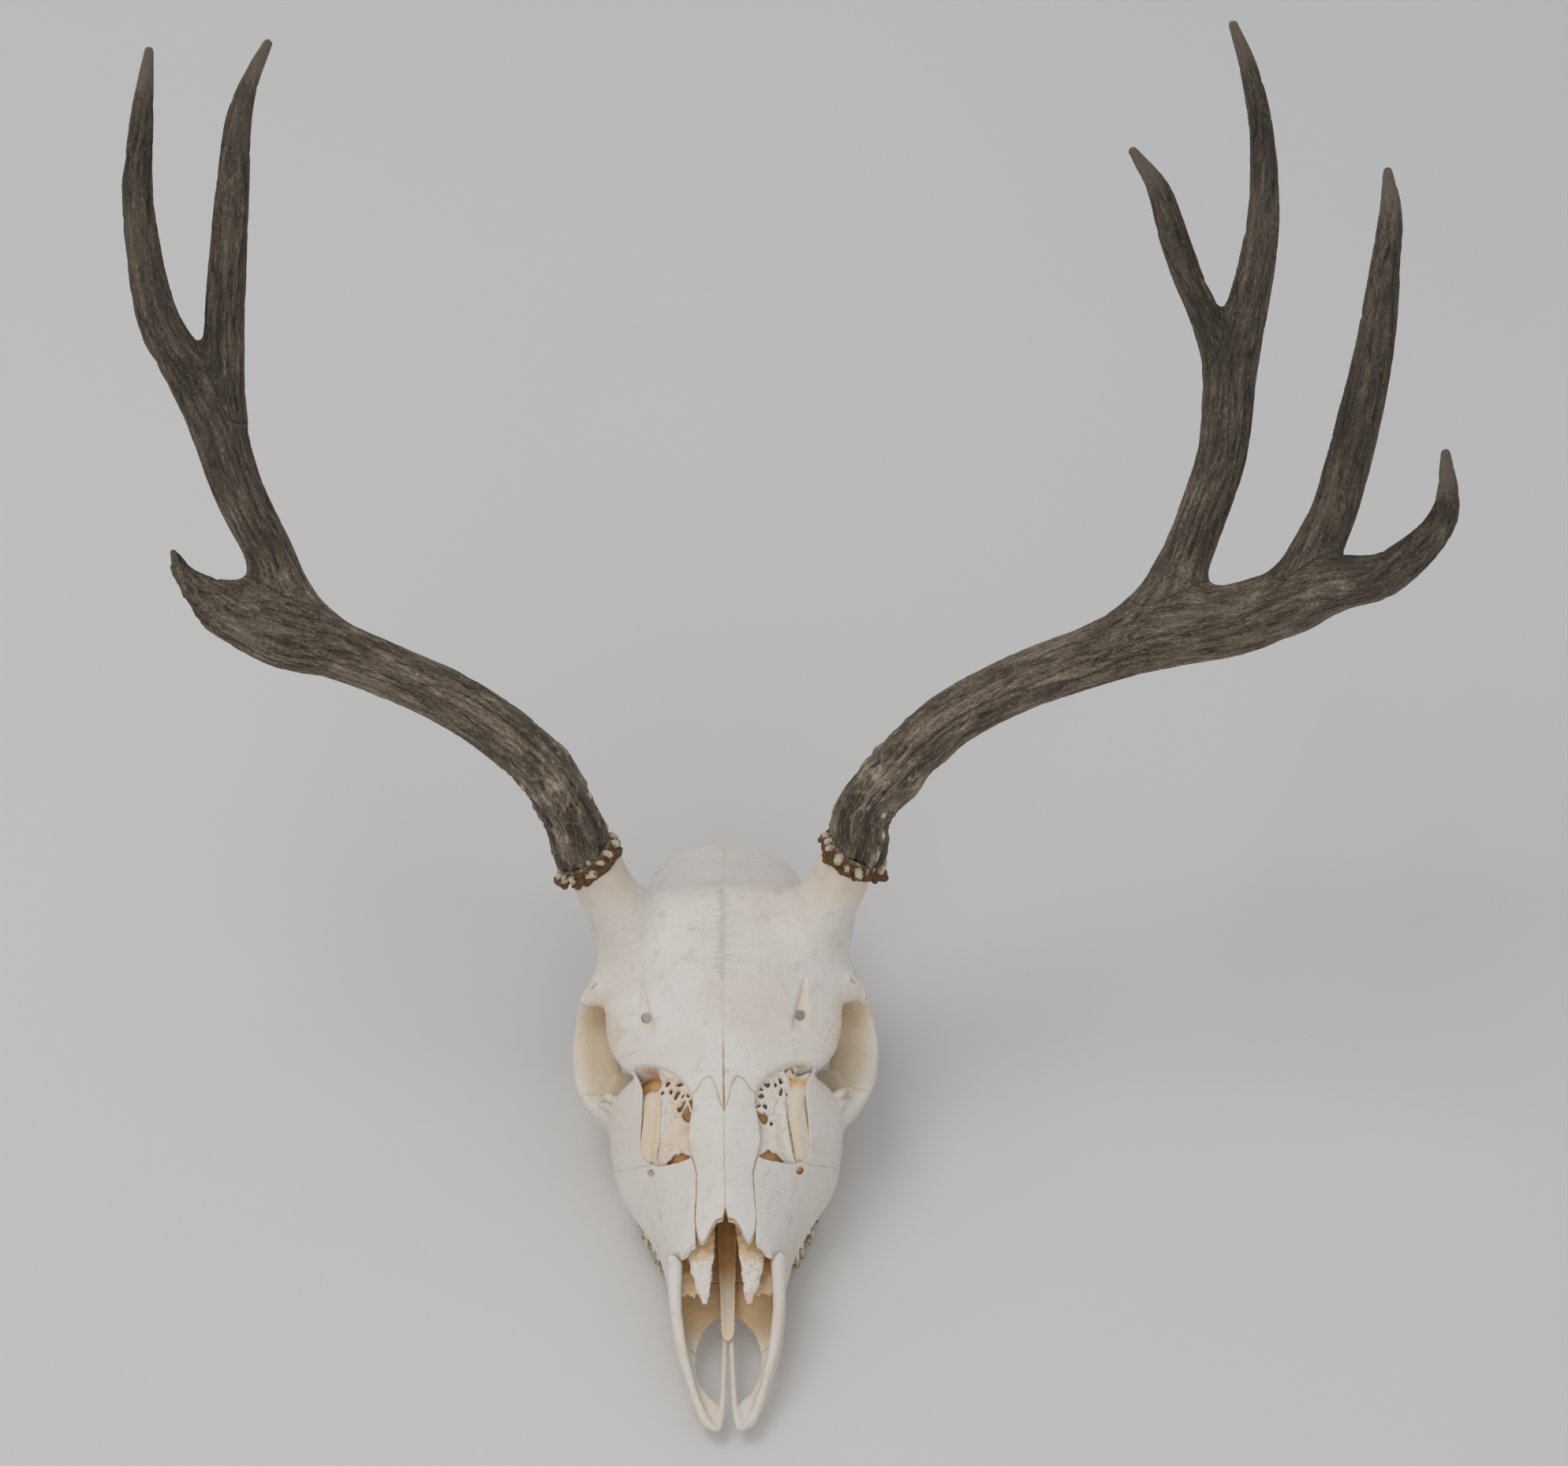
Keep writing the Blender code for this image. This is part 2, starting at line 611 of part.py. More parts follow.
def build_skull(add):
    skull = whole_skull()
    braincase, occipital = back_of_skull(skull)
    sphenoid = part_off_side(skull, "sphenoid", SPHENOID)
    left = part_at_plane(skull, "left", (0, 0, 0), (1, 0, 0))
    bpy.data.objects.remove(skull)
    bones = face_bones(left)
    bones["zygomatic"] = cheek_bone()
    bones["bulla"] = bullae()
    bones["premaxilla"] = premaxilla()
    for name, bone in bones.items():
        add(f"{name}_right", mirrored(bone, name), "bone")
        add(f"{name}_left", bone, "bone")
    for name, bone in (
        ("turbinate", tube("turbinate", TURBINATE, 8, 2)), ("ethmoid", ball("ethmoid", *ETHMOID)),
    ):
        add(f"{name}_right", mirrored(bone, name), "inner")
        add(f"{name}_left", bone, "inner")
    add("vomer", vomer(), "inner")
    add("braincase", braincase, "bone")
    add("occipital", occipital, "bone")
    add("sphenoid", sphenoid, "bone")


# ---- antlers ----


def antler(add, side, beam, front, rear, rear_tine, front_tine=None):
    label = "left" if side > 0 else "right"
    burr_rows = [(*over_pedicle(side, height), radius) for height, radius in BURR_RINGS]
    pieces = {"burr": tube("burr", burr_rows, 12, 1)}
    burr_top = over_pedicle(side, BURR_RINGS[-1][0] + GAP)
    trunk = ((*over_pedicle(side, 2), 13.4), (*burr_top, 13.2), *beam, *front)
    pieces["beam"] = cut(tube("beam", trunk), half_space(burr_top, -burr_axis(side)))
    fork, ahead = beam[-1][:3], Vector(front[0][:3]) - Vector(beam[-2][:3])
    pieces["front"] = part_at_plane(pieces["beam"], "front", fork, ahead)
    pieces["rear"] = cut(tube("rear", rear), tube("trunk", trunk, grow=GAP))
    pieces["rear_tine"] = cut(tube("rear_tine", rear_tine), tube("rear", rear, grow=GAP))
    if front_tine:
        pieces["front_tine"] = cut(tube("front_tine", front_tine), tube("trunk", trunk, grow=GAP))
    else:
        cut(pieces["front"], half_space(*BREAK))
    for name, piece in pieces.items():
        add(f"antler_{label}_{name}", piece, "burr" if name == "burr" else "antler")


def settle(parts):
    """Moves the whole skull so that the origin is at the bottom centre of its box."""
    corners = np.array([v.co for obj in parts for v in obj.data.vertices])
    low, high = corners.min(axis=0), corners.max(axis=0)
    shift = Matrix.Translation((-(low[0] + high[0]) / 2, -(low[1] + high[1]) / 2, -low[2]))
    for obj in parts:
        obj.data.transform(shift)


def main():
    clear_scene()
    slots = {
        "bone": material("bone", BONE),
        "inner": material("inner_bone", INNER_BONE),
        "antler": material("antler", ANTLER),
        "burr": material("burr", BURR),
    }
    parts = []

    def add(name, obj, slot):
        obj.name = name
        flatten(obj.data)
        obj.data.materials.clear()
        obj.data.materials.append(slots[slot])
        parts.append(obj)

    build_skull(add)
    antler(add, 1, LEFT_BEAM, LEFT_FRONT, LEFT_REAR, LEFT_REAR_TINE, LEFT_FRONT_TINE)
    antler(add, -1, RIGHT_BEAM, RIGHT_FRONT, RIGHT_REAR, RIGHT_REAR_TINE)
    settle(parts)


main()
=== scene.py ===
"""Looks of a mule deer skull with antlers: its bones, teeth, antlers and finishes, on a pale floor.

Lengths in the tables are millimetres in the skull's own frame: x to the skull's left, y back from
the front tip of the muzzle, z up from the level that the teeth rest on. Each bone is the zero
level of a field of distances, sampled on a grid, so neighbouring bones flow into each other and
part only along their sutures. Tables for the left side serve the right side too, mirrored.
"""

import functools
import math

import bpy
import numpy as np
from mathutils import Matrix, Vector


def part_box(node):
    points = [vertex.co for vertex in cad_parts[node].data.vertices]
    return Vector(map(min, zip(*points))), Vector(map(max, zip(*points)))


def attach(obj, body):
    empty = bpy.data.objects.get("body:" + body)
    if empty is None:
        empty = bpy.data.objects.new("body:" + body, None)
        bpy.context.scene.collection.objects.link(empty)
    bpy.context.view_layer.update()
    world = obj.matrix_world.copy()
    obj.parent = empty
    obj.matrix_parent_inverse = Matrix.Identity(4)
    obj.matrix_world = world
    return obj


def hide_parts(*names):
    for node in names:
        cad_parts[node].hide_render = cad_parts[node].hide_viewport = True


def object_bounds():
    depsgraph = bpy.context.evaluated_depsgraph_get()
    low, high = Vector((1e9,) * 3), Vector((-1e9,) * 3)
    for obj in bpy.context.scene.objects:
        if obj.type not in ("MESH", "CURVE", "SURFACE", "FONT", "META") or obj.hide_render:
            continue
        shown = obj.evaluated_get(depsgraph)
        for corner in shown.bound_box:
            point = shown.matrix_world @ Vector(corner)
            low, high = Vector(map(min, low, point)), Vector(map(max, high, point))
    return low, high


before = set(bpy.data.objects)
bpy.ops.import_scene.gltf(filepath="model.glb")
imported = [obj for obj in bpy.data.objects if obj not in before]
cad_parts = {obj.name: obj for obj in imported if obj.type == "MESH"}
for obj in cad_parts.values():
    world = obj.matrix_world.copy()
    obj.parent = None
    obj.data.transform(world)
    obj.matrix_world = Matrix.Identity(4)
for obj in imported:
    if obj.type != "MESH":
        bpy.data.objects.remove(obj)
CAD_BOX = [list(corner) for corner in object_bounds()]

MM = 0.001
STEP = 0.61  # spacing of the skull's samples, mm
ANTLER_STEP = 0.9  # the same for the antlers
FINE_STEP = 0.5  # and for the thin bone in the nose and the burrs
FAR = 12.0  # a field's value where nothing is near
REACH = 9.0  # how far beyond its surface a piece is sampled
SUTURE = -0.24  # width of the gap along a suture: below zero, so neighbours just overlap
MIDLINE_LAP = 0.5  # how much further the two frontal bones run past the middle, to hide their edges
SEED = 41

# Face and braincase: y, half width, top, height of the widest line, bottom, squareness of the top
CORE = (
    (44, 22, 46, 28, 13, 2.0), (60, 25.4, 54, 30, 14, 2.0), (75, 29, 61.5, 27, 14, 1.8),
    (90, 36, 68.5, 24, 15, 1.7), (103, 45, 74.5, 29, 15, 1.8), (113, 48.5, 79, 34, 16, 1.9),
    (124, 50, 84, 42, 16, 2.1), (134, 48, 85, 44, 16, 2.3), (141, 24, 86, 46, 16, 2.4),
    (150, 20, 90, 52, 16, 2.6), (168, 20, 95, 56, 22, 2.6), (185, 28, 98, 60, 26, 2.4),
    (205, 34, 101, 62, 27, 2.2), (214, 35, 99, 62, 27, 2.1), (226, 35.5, 92, 60, 26, 2),
    (242, 35, 83, 57, 25, 2), (256, 32, 75, 52, 24, 2), (263, 26, 68, 48, 24, 2),
    (267, 16, 56, 42, 26, 2),
)
LOWER_SQUARE = 3.2
ALVEOLAR = (
    (116, 43, 40, 26, 15, 2.6), (135, 42, 36, 24, 15, 2.6), (150, 40, 32, 23, 15, 2.6),
    (163, 37, 29, 22, 15, 2.6), (169, 27, 27, 22, 17, 2.2),
)
# Roof of the forehead: y, half width, top on the middle line, how far the edge lies below it
ROOF = (
    (121, 12, 80, 2), (129, 27, 86.5, 4), (136, 41, 89.5, 6.4), (144, 47.5, 92.5, 9),
    (154, 50.3, 96, 11),
    (166, 51.5, 100, 13.4), (174, 61, 102, 23), (180, 58, 103.5, 19), (188, 54, 105, 14),
    (199, 53, 107, 9), (206, 47, 107.5, 6), (213, 38, 104, 6), (219, 26, 94, 7),
)
ROOF_THICKNESS, ROOF_SQUARE, ROOF_BEND = 13.0, 2.6, 2.2
PEDICLE = ((36, 196, 88, 16.5), (43, 200.5, 101, 14), (49.3, 204, 113, 12.3), (54, 208, 126, 12))
PEDICLE_AXIS = Vector((0.5, 0.22, 0.82)).normalized()
# Cheek bone: the rim of the orbit with its wall running inwards, and the arch to the ear
ORBIT_RIM = (
    (44, 132, 48), (54, 134, 50), (61, 141, 50), (64, 152, 51), (65, 163, 54), (64.5, 171, 62),
    (62, 174.5, 71), (56, 177, 82),
)
ORBIT_APEX = (22, 170, 52)
ORBIT_WALL_DEPTH, ORBIT_WALL = 19.0, 5.0
ARCH = (
    (40, 127, 38.5), (50, 132.5, 41.5), (57.5, 141, 42.5), (61.5, 154.5, 44), (61, 174, 49),
    (57, 194, 51),
    (49, 211, 53), (32, 226, 56),
)
ARCH_DEPTHS, ARCH_THICKNESS = (18, 15, 14, 13, 12, 11, 12, 14), 6.0
# Base of the skull
BULLA = ((20, 234, 24), (8, 13, 10))
CONDYLE = ((14, 266, 32), (8, 8.5, 11))
JUGULAR = ((27, 252, 42, 8), (28.5, 255, 24, 6), (28, 256, 9, 4.4), (27, 254, 3.1, 2.6))
PTERYGOID = ((13, 160, 24, 4), (14, 172, 17, 3.5), (13, 184, 22, 3.5), (12, 194, 32, 5))
# Openings
NOSE_WALL = 3.4
NOSE_BACK = 126.0
# Groove over the orbit: y, and x of its sharp inner edge; and the hole at its foot
SULCUS = ((146, 28.8), (151, 29.6), (156.5, 30.9), (163, 32.6), (171, 35))
SULCUS_DEPTH = 2.2
ORBITAL_HOLE = ((32.6, 143, 101.5, 2.1), (32.6, 174, 64.6, 2.1))
FORAMEN_MAGNUM = ((0, 272, 44), (11, 16, 10))
CHOANA = ((0, 174, 16), (9, 22, 13))
VACUITY = (
    (37.4, 135), (32, 134.2), (27, 132.6), (21.7, 129.7), (17.3, 125.8), (14.2, 121.4), (13.2, 116.8),
    (14.4, 110.6), (15.4, 104), (14.6, 97.4), (26.2, 98.8), (30.6, 101), (33.6, 103.4), (35.4, 107),
    (35.4, 113), (34.6, 121), (34.4, 127), (36.6, 133),
)
VACUITY_LOW = 50.0
SHEET_DEPTH, SHEET = 3.0, 1.0
FLOOR_UNDER = 2.3  # how far under the sheet the opening is closed
FILL_DEPTH, FILL_END = 2.6, 104.5  # beside the duct, outwards, the opening is filled up to this depth
BESIDE_DIP = 2.6  # how much deeper the sheet lies where the duct runs over it
# Holes in the sheet: x, y, half width, half length and lean, for the skull's left and right
HOLES_LEFT = (
    (27.9, 128.2, 1.5, 3.6, 3), (26.3, 122.9, 1.1, 1.4, 0), (21.7, 124.8, 1.3, 3.0, -6),
    (15.6, 120.4, 2.5, 1.7, 0), (15.9, 115.2, 3.0, 4.4, 8), (19.6, 111.7, 1.3, 1.5, 0),
    (20.9, 108.0, 0.6, 0.9, 0),
)
HOLES_RIGHT = (
    (31.2, 130.8, 5.0, 6.6, -14), (22.3, 124.4, 1.3, 2.7, 16), (16.2, 117.6, 3.8, 5.8, -6),
    (19.0, 119.6, 0.9, 1.2, 0),
)
# Where the sheet breaks up into small cells: how wide, how far forward, and how far out on each side
NET_WIDTH, NET_FRONT, NET_OUT = 7.6, 114.5, {1: 29.8, -1: 26.8}
SLITS = {1: (28.1, 108, 0.45, 8.0, 12), -1: (28.2, 104.6, 0.4, 3.2, 15)}
# Along the opening: y, and x of the raised strip between the sheet and the duct
STRIP = ((99, 29.8), (104, 28.0), (111, 26.4), (122, 25.2), (126, 25.2))
# Gap between the sheet and the maxilla, drawn from above
GAP_BY_MAXILLA = (
    (13.8, 97.0), (15, 99.6), (18, 101.6), (21.6, 101.8), (24.6, 100), (26.2, 98.4), (26, 96),
    (13.8, 96),
)
DUCT = (
    (29.8, 124.5, 70.2, 3.7), (30.5, 118, 66.4, 3.8), (31.4, 112.8, 61.9, 3.8),
    (32.6, 108, 57.4, 3.7), (33.0, 105.4, 55.2, 3.2), (33.2, 103.8, 54.0, 2.2),
)
DUCT_FLARE = ((30, 124.5, 70.4, 3.6), (32.6, 128.6, 72.4, 3.9), (36.4, 131.6, 72.6, 3.4))
INFRAORBITAL = ((31.5, 95.8, 56.8, 1.5), (31.5, 99.4, 52.5, 1.5))
CHEEK_HOLE = ((29, 84.5, 46, 0.6), (27, 83, 40, 0.6))
LACRIMAL_HOLES = (((53, 133, 60, 1.6), (47, 138, 57, 1.5)), ((49, 133.5, 53, 1.3), (44, 139, 51, 1.2)))
LACRIMAL_SPURS = (
    ((49, 132.5, 61, 2.2), (53.2, 135.4, 59.4, 1.2)), ((49, 131.5, 56, 2.2), (53, 133.6, 54, 1.3)),
)
# The slit beside the middle of the palate, drawn from above
FISSURE = (
    (2.0, 52.6), (3.8, 52), (7.2, 48.8), (9.8, 45.9), (11.2, 43.4), (13.2, 38), (13.8, 32), (13.6, 27),
    (12, 21.5), (9.4, 18), (6, 16.4), (2.0, 17),
)
# Sutures. The nasal bone is drawn from above, the others from the side as y, z
NASAL_EDGE = 12.6
NASAL = (
    (-4, 76), (0, 75.6), (1.0, 72), (3.7, 71.6), (5.3, 69.8), (6.8, 67.2), (8.3, 65), (9.8, 64.3),
    (11.2, 65.6),
    (12.3, 69.2), (12.9, 74.4), (12.2, 82), (11.8, 90.7), (13.0, 95.5), (14.6, 99), (15.3, 104),
    (14.7, 110),
    (13.4, 116.5), (13.6, 120), (11.2, 121.2), (8.6, 124.8), (5.6, 125.9), (3.6, 122.6), (2.0, 117),
    (0, 113.2),
    (-4, 113.2),
)
NASAL_HEIGHTS = (44, 120)
MAXILLA = (
    (20, -20), (164, -20), (164, 28), (140, 34), (112, 34), (104, 48), (101.2, 56), (99.8, 60),
    (99.4, 120), (20, 120),
)
LACRIMAL = ((90, 30), (140, 34), (140, 70), (139, 120), (90, 120))
# The lacrimal from above: it stops at the outer corner of the opening beside the nose
LACRIMAL_ABOVE = ((27, 88), (90, 88), (90, 138.4), (46, 137), (37.6, 134.6), (33, 130.4), (27, 130.4))
SPHENOID = ((164.3, -20), (260, -20), (260, 40), (190, 42), (164.3, 36))
CORONAL_PLANE = ((0, 220, 100), (0, 0.963, -0.27))
OCCIPUT_PLANE = 249.0
# Cheek teeth: where each one starts, then along the row y, outer face, width
TOOTH_STARTS = (78, 90, 101, 112, 127, 143, 159)
TOOTH_ROW = ((78, 27.5, 9), (90, 33.5, 11), (103, 38.5, 13), (130, 41, 15), (159, 39, 13))
FIRST_MOLAR = 3
TOOTH_TOP, CUSP_TIP, INNER_CUSP_TIP = 21.0, 1.5, 2.6
# Front edge of the maxilla: its foremost corner, how far it runs back outwards, and how it leans
# with height over the corner, and under it on the wall's inner and outer face
MUZZLE_EDGE, EDGE_OUT, EDGE_LAP, EDGE_IN = (18.6, 61.6, 44.5), 1.0, 3.4, 0.3
EDGE_UP, EDGE_UNDER, EDGE_OUTER, EDGE_LOW = 0.25, -0.35, 0.6, 14.5
# Muzzle bones: y, outer face, top, inner face of the wall, top of the shelf, end of the shelf
PREMAXILLA = (
    (1.4, 7.4, 10.8, 4.4, 9.9, 3.0), (4, 11, 11.6, 7, 10.2, 2.6), (10, 13.8, 13.4, 10, 10.6, 3.6),
    (14, 15.4, 15.6, 12, 10.9, 5.5), (18, 16.8, 17.6, 13.4, 11.2, 9.5), (25, 19.2, 21.2, 15.2, 12, 12),
    (32, 21.5, 25, 17, 12.8, 13), (46, 23.9, 33.6, 19.0, 14.4, 6), (56, 24.6, 40.8, 18.8, 16.2, 0),
    (62, 25.0, 43.8, 18.5, 17.3, 0), (76, 26.6, 48, 19, 17.8, 0),
)
MUZZLE_BACK = 75.0
PALATE_LINE = (13.1, 33.4)  # where the suture across the palate leaves the slit
SHELF = 2.4
PALATE_ROD = (
    (3.6, 6, 9.6, 1.7), (2.5, 13, 10.8, 1.4), (1.9, 25, 12.6, 1.25), (1.5, 38, 15, 1.15),
    (1.4, 46, 16.2, 1.1),
)
# Keel in the nose: y, half width, bottom, top
VOMER = (
    (38, 2.2, 16.5, 19), (42, 3.1, 16.8, 20), (55, 3.4, 18.2, 23), (85, 4.4, 19.5, 31), (114, 4, 21, 36),
)
TURBINATE = (
    (9.0, 47.2, 34.3), (9.4, 50.4, 35.7), (10.2, 55.6, 38.6), (10.6, 63, 43), (10.4, 74, 47),
    (10.2, 90, 50),
)
TURBINATE_WIDTHS, TURBINATE_THICKNESS = (2.8, 4.8, 8.0, 11.2, 12.4, 12), (2.0, 2.4, 3.0, 3.6, 4.4, 5)
ETHMOID = ((16, 111, 50), (9, 12, 15))

# Antlers: x, y, z and radius along each length, from its root to its tip
LEFT_BEAM = (
    (61, 220, 144, 12.7), (73, 229, 156, 12.5), (86, 237, 168, 12.3), (101, 243, 179, 12.1),
    (127, 249, 192, 12.2), (157, 252, 205, 12.9), (184, 254, 217, 15),
)
LEFT_FRONT = (
    (213, 250, 228, 14.8), (236, 248, 242, 13.4), (253, 244, 256, 11.4), (269, 238, 267, 9.2),
    (282, 235, 287, 7.3), (288, 234, 304, 5.8), (288, 235, 319, 4.3), (285, 237, 337, 2.1),
)
LEFT_FRONT_TINE = (
    (236, 248, 243, 12), (248, 264, 261, 10.2), (254, 273, 273, 9.4), (261, 289, 296, 9.1),
    (268, 310, 320, 8.1), (272, 330, 341, 6.7), (275, 349, 359, 4.9), (274, 362, 371, 2.1),
)
LEFT_REAR = (
    (184, 258, 220, 12.5), (191, 270, 231, 11.4), (198, 281, 242, 10.4), (211, 306, 268, 10.4),
    (215, 331, 292, 11), (222, 350, 311, 8.8), (227, 366, 327, 7.5), (229, 383, 345, 6.3),
    (227, 401, 366, 5.2), (222, 413, 384, 3.8), (215, 420, 400, 2.1),
)
LEFT_REAR_TINE = (
    (213, 331, 292, 8.5), (204, 347, 309, 6.8), (197, 355, 322, 6.3), (190, 364, 339, 6),
    (184, 372, 355, 4.7), (173, 377, 371, 2.1),
)
RIGHT_BEAM = (
    (-64, 221, 145, 12.4), (-74, 232, 160, 12.4), (-91, 242, 174, 12.3), (-112, 250, 187, 11.9),
    (-136, 255, 199, 11.6), (-159, 258, 211, 12.4), (-181, 259, 222, 14.6),
)
RIGHT_FRONT = (
    (-198, 260, 233, 12.6), (-208, 259.5, 241.5, 9.6), (-215.5, 261.5, 252, 5.6),
    (-219, 264.8, 264, 1.8),
)
RIGHT_REAR = (
    (-174, 264, 218, 12.5), (-180, 275, 232, 11), (-185, 284, 244, 10.2), (-197, 303, 264, 10.6),
    (-205, 322, 284, 11.6), (-216, 336, 300, 10), (-226, 348, 314, 8.9), (-231, 366, 331, 7.5),
    (-233, 385, 352, 6.6), (-230, 404, 373, 5.1), (-225, 419, 397, 2.1),
)
RIGHT_REAR_TINE = (
    (-201, 322, 285, 9.4), (-200, 345, 308, 8.6), (-197, 365, 331, 7.8), (-193, 388, 358, 6.7),
    (-190, 401, 375, 5.4), (-184, 410, 389, 3.7), (-176, 416, 402, 2.1),
)
BREAK = ((-215.5, 256.5, 246), (-0.85, -0.2, -0.33))  # where the right front branch broke off: point, normal
BURR_TOP = 8.6
FORK_BLENDS = (12.0, 4.5, 6.0)  # how wide the crotch is where the rear branch and the tines leave
BEAD_COUNT, LUMP_COUNT, KNOB_COUNT = 16, 34, 12

# Camera
AIM = (27.9, 246.0, 165.6)
CAMERA_DISTANCE, CAMERA_ELEVATION, CAMERA_ROLL = 1500.0, 50.0, -1.0
LENS, SENSOR = 81.1, 36.0

random = np.random.default_rng(SEED)


def find_origin():
    """The row frame's origin in the skull's own frame, read from the place of the vomer."""
    low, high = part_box("vomer")
    front, _, bottom, _ = VOMER[0]
    return np.array([-(low.x + high.x) / 2 / MM, front - low.y / MM, bottom - low.z / MM])


ORIGIN = find_origin()


# ---- fields ----


def smooth_path(stations, steps):
    """Points of a Catmull-Rom curve through the stations, with steps spans between two of them."""
    s = np.array(stations, float)
    padded = np.vstack([2 * s[0] - s[1], s, 2 * s[-1] - s[-2]])
    out = []
    for a, b, c, d in zip(padded, padded[1:], padded[2:], padded[3:]):
        for t in np.arange(steps) / steps:
            bend = (2 * a - 5 * b + 4 * c - d) * t**2 + (3 * b - a - 3 * c + d) * t**3
            out.append((2 * b + (c - a) * t + bend) / 2)
    return np.array(out + [s[-1]])


def closed_curve(points, steps=4):
    """A smooth closed outline through the points."""
    n = len(points)
    return [tuple(p) for p in smooth_path([*points, *points, *points], steps)[n * steps : 2 * n * steps]]


def grid(low, high, step=STEP):
    x, y, z = (np.arange(a, b + step / 2, step, dtype=np.float32) for a, b in zip(low, high))
    return x[:, None, None], y[None, :, None], z[None, None, :]


def shape_of(g):
    return tuple(axis.size for axis in g)


def empty(g):
    return np.full(shape_of(g), FAR, np.float32)


def window(g, low, high):
    """The part of a grid inside a box: its slices, and its own coordinates."""
    ends = [np.searchsorted(axis.ravel(), pair) for axis, pair in zip(g, zip(low, high))]
    cuts = tuple(slice(int(a), int(b)) for a, b in ends)
    return cuts, (g[0][cuts[0]], g[1][:, cuts[1]], g[2][:, :, cuts[2]])


def union(a, b, k=1.0):
    """Both bodies in one, with a fillet about k wide where they meet."""
    near = np.maximum(k - np.abs(a - b), 0)
    return np.minimum(a, b) - near * near / (4 * k)


def carve(a, b, k=1.0):
    """The first body without the second."""
    return -union(-a, b, k)


def meet(*fields):
    """Only what lies inside every one of the fields."""
    return functools.reduce(np.maximum, fields)


def put(field, piece, k=1.0):
    """Joins a piece, which covers a window of the field, to the field."""
    cuts, values = piece
    field[cuts] = union(field[cuts], values, k)


def take(field, piece, k=1.0):
    cuts, values = piece
    field[cuts] = carve(field[cuts], values, k)


def as_distance(field, g):
    """The field scaled so that it grows by one a millimetre near its zero level."""
    step = float(g[0][1, 0, 0] - g[0][0, 0, 0])
    steepness = np.zeros_like(field)
    for axis in range(3):
        slope = np.gradient(field, step, axis=axis)
        steepness += slope * slope
    return np.clip(field / np.sqrt(np.maximum(steepness, 1e-5)), -FAR, FAR).astype(np.float32)


def column(table, k, y):
    """Column k of a table read along y, which is its first column."""
    path = smooth_path(table, 6)
    return np.interp(y, path[:, 0], path[:, k]).astype(np.float32)


def sections(g, table):
    """The body whose sections across the skull the table gives."""
    x, y, z = g
    width, top, middle, bottom, square = (column(table, k, y) for k in range(1, 6))
    upper = z > middle
    across = np.abs(x) / width
    height = np.abs(z - middle) / np.where(upper, top - middle, middle - bottom)
    power = np.where(upper, square, LOWER_SQUARE)
    total = np.where(upper, across**square, across**LOWER_SQUARE) + height**power
    return as_distance(total ** (1 / power) - 1, g)


def between(field, y, front, back, k=1.0):
    """The field held between two planes across the skull."""
    return -union(-field, -np.maximum(front - y, y - back), k)


def roof(g):
    """The plate of the forehead, with the brows at its edges."""
    x, y, z = g
    width, top, drop = (column(ROOF, k, y) for k in (1, 2, 3))
    across = np.abs(x) / width
    half = ROOF_THICKNESS / 2
    height = np.abs(z - (top - drop * across**ROOF_BEND - half)) / half
    total = (across**ROOF_SQUARE + height**ROOF_SQUARE) ** (1 / ROOF_SQUARE)
    return between(as_distance(total - 1, g), y, ROOF[0][0], ROOF[-1][0])


def ellipsoid(g, centre, half_sizes):
    """An ellipsoid in its own window."""
    c, h = np.array(centre, float), np.array(half_sizes, float)
    cuts, part = window(g, c - h - REACH, c + h + REACH)
    offset = [(axis - m) / s for axis, m, s in zip(part, c, h)]
    near = np.sqrt(sum(o * o for o in offset))
    pull = np.sqrt(sum((o / s) ** 2 for o, s in zip(offset, h)))
    return cuts, near * (near - 1) / np.maximum(pull, 1e-4)


def bar(g, stations, steps=4):
    """A round bar through x, y, z with a radius at each station, in its own window."""
    path = smooth_path(stations, steps) if steps > 1 else np.array(stations, float)
    margin = path[:, 3].max() + REACH
    cuts, part = window(g, path[:, :3].min(0) - margin, path[:, :3].max(0) + margin)
    field = empty(part)
    for a, b in zip(path, path[1:]):
        reach = max(a[3], b[3]) + REACH
        inner, (x, y, z) = window(part, np.minimum(a, b)[:3] - reach, np.maximum(a, b)[:3] + reach)
        run = b - a
        t = (x - a[0]) * run[0] + (y - a[1]) * run[1] + (z - a[2]) * run[2]
        t = np.clip(t / (run[:3] @ run[:3]), 0, 1)
        off = (x - a[0] - t * run[0]) ** 2 + (y - a[1] - t * run[1]) ** 2 + (z - a[2] - t * run[2]) ** 2
        field[inner] = np.minimum(field[inner], np.sqrt(off) - a[3] - t * run[3])
    return cuts, field


def unit(rows):
    return rows / np.maximum(np.linalg.norm(rows, axis=-1, keepdims=True), 1e-9)


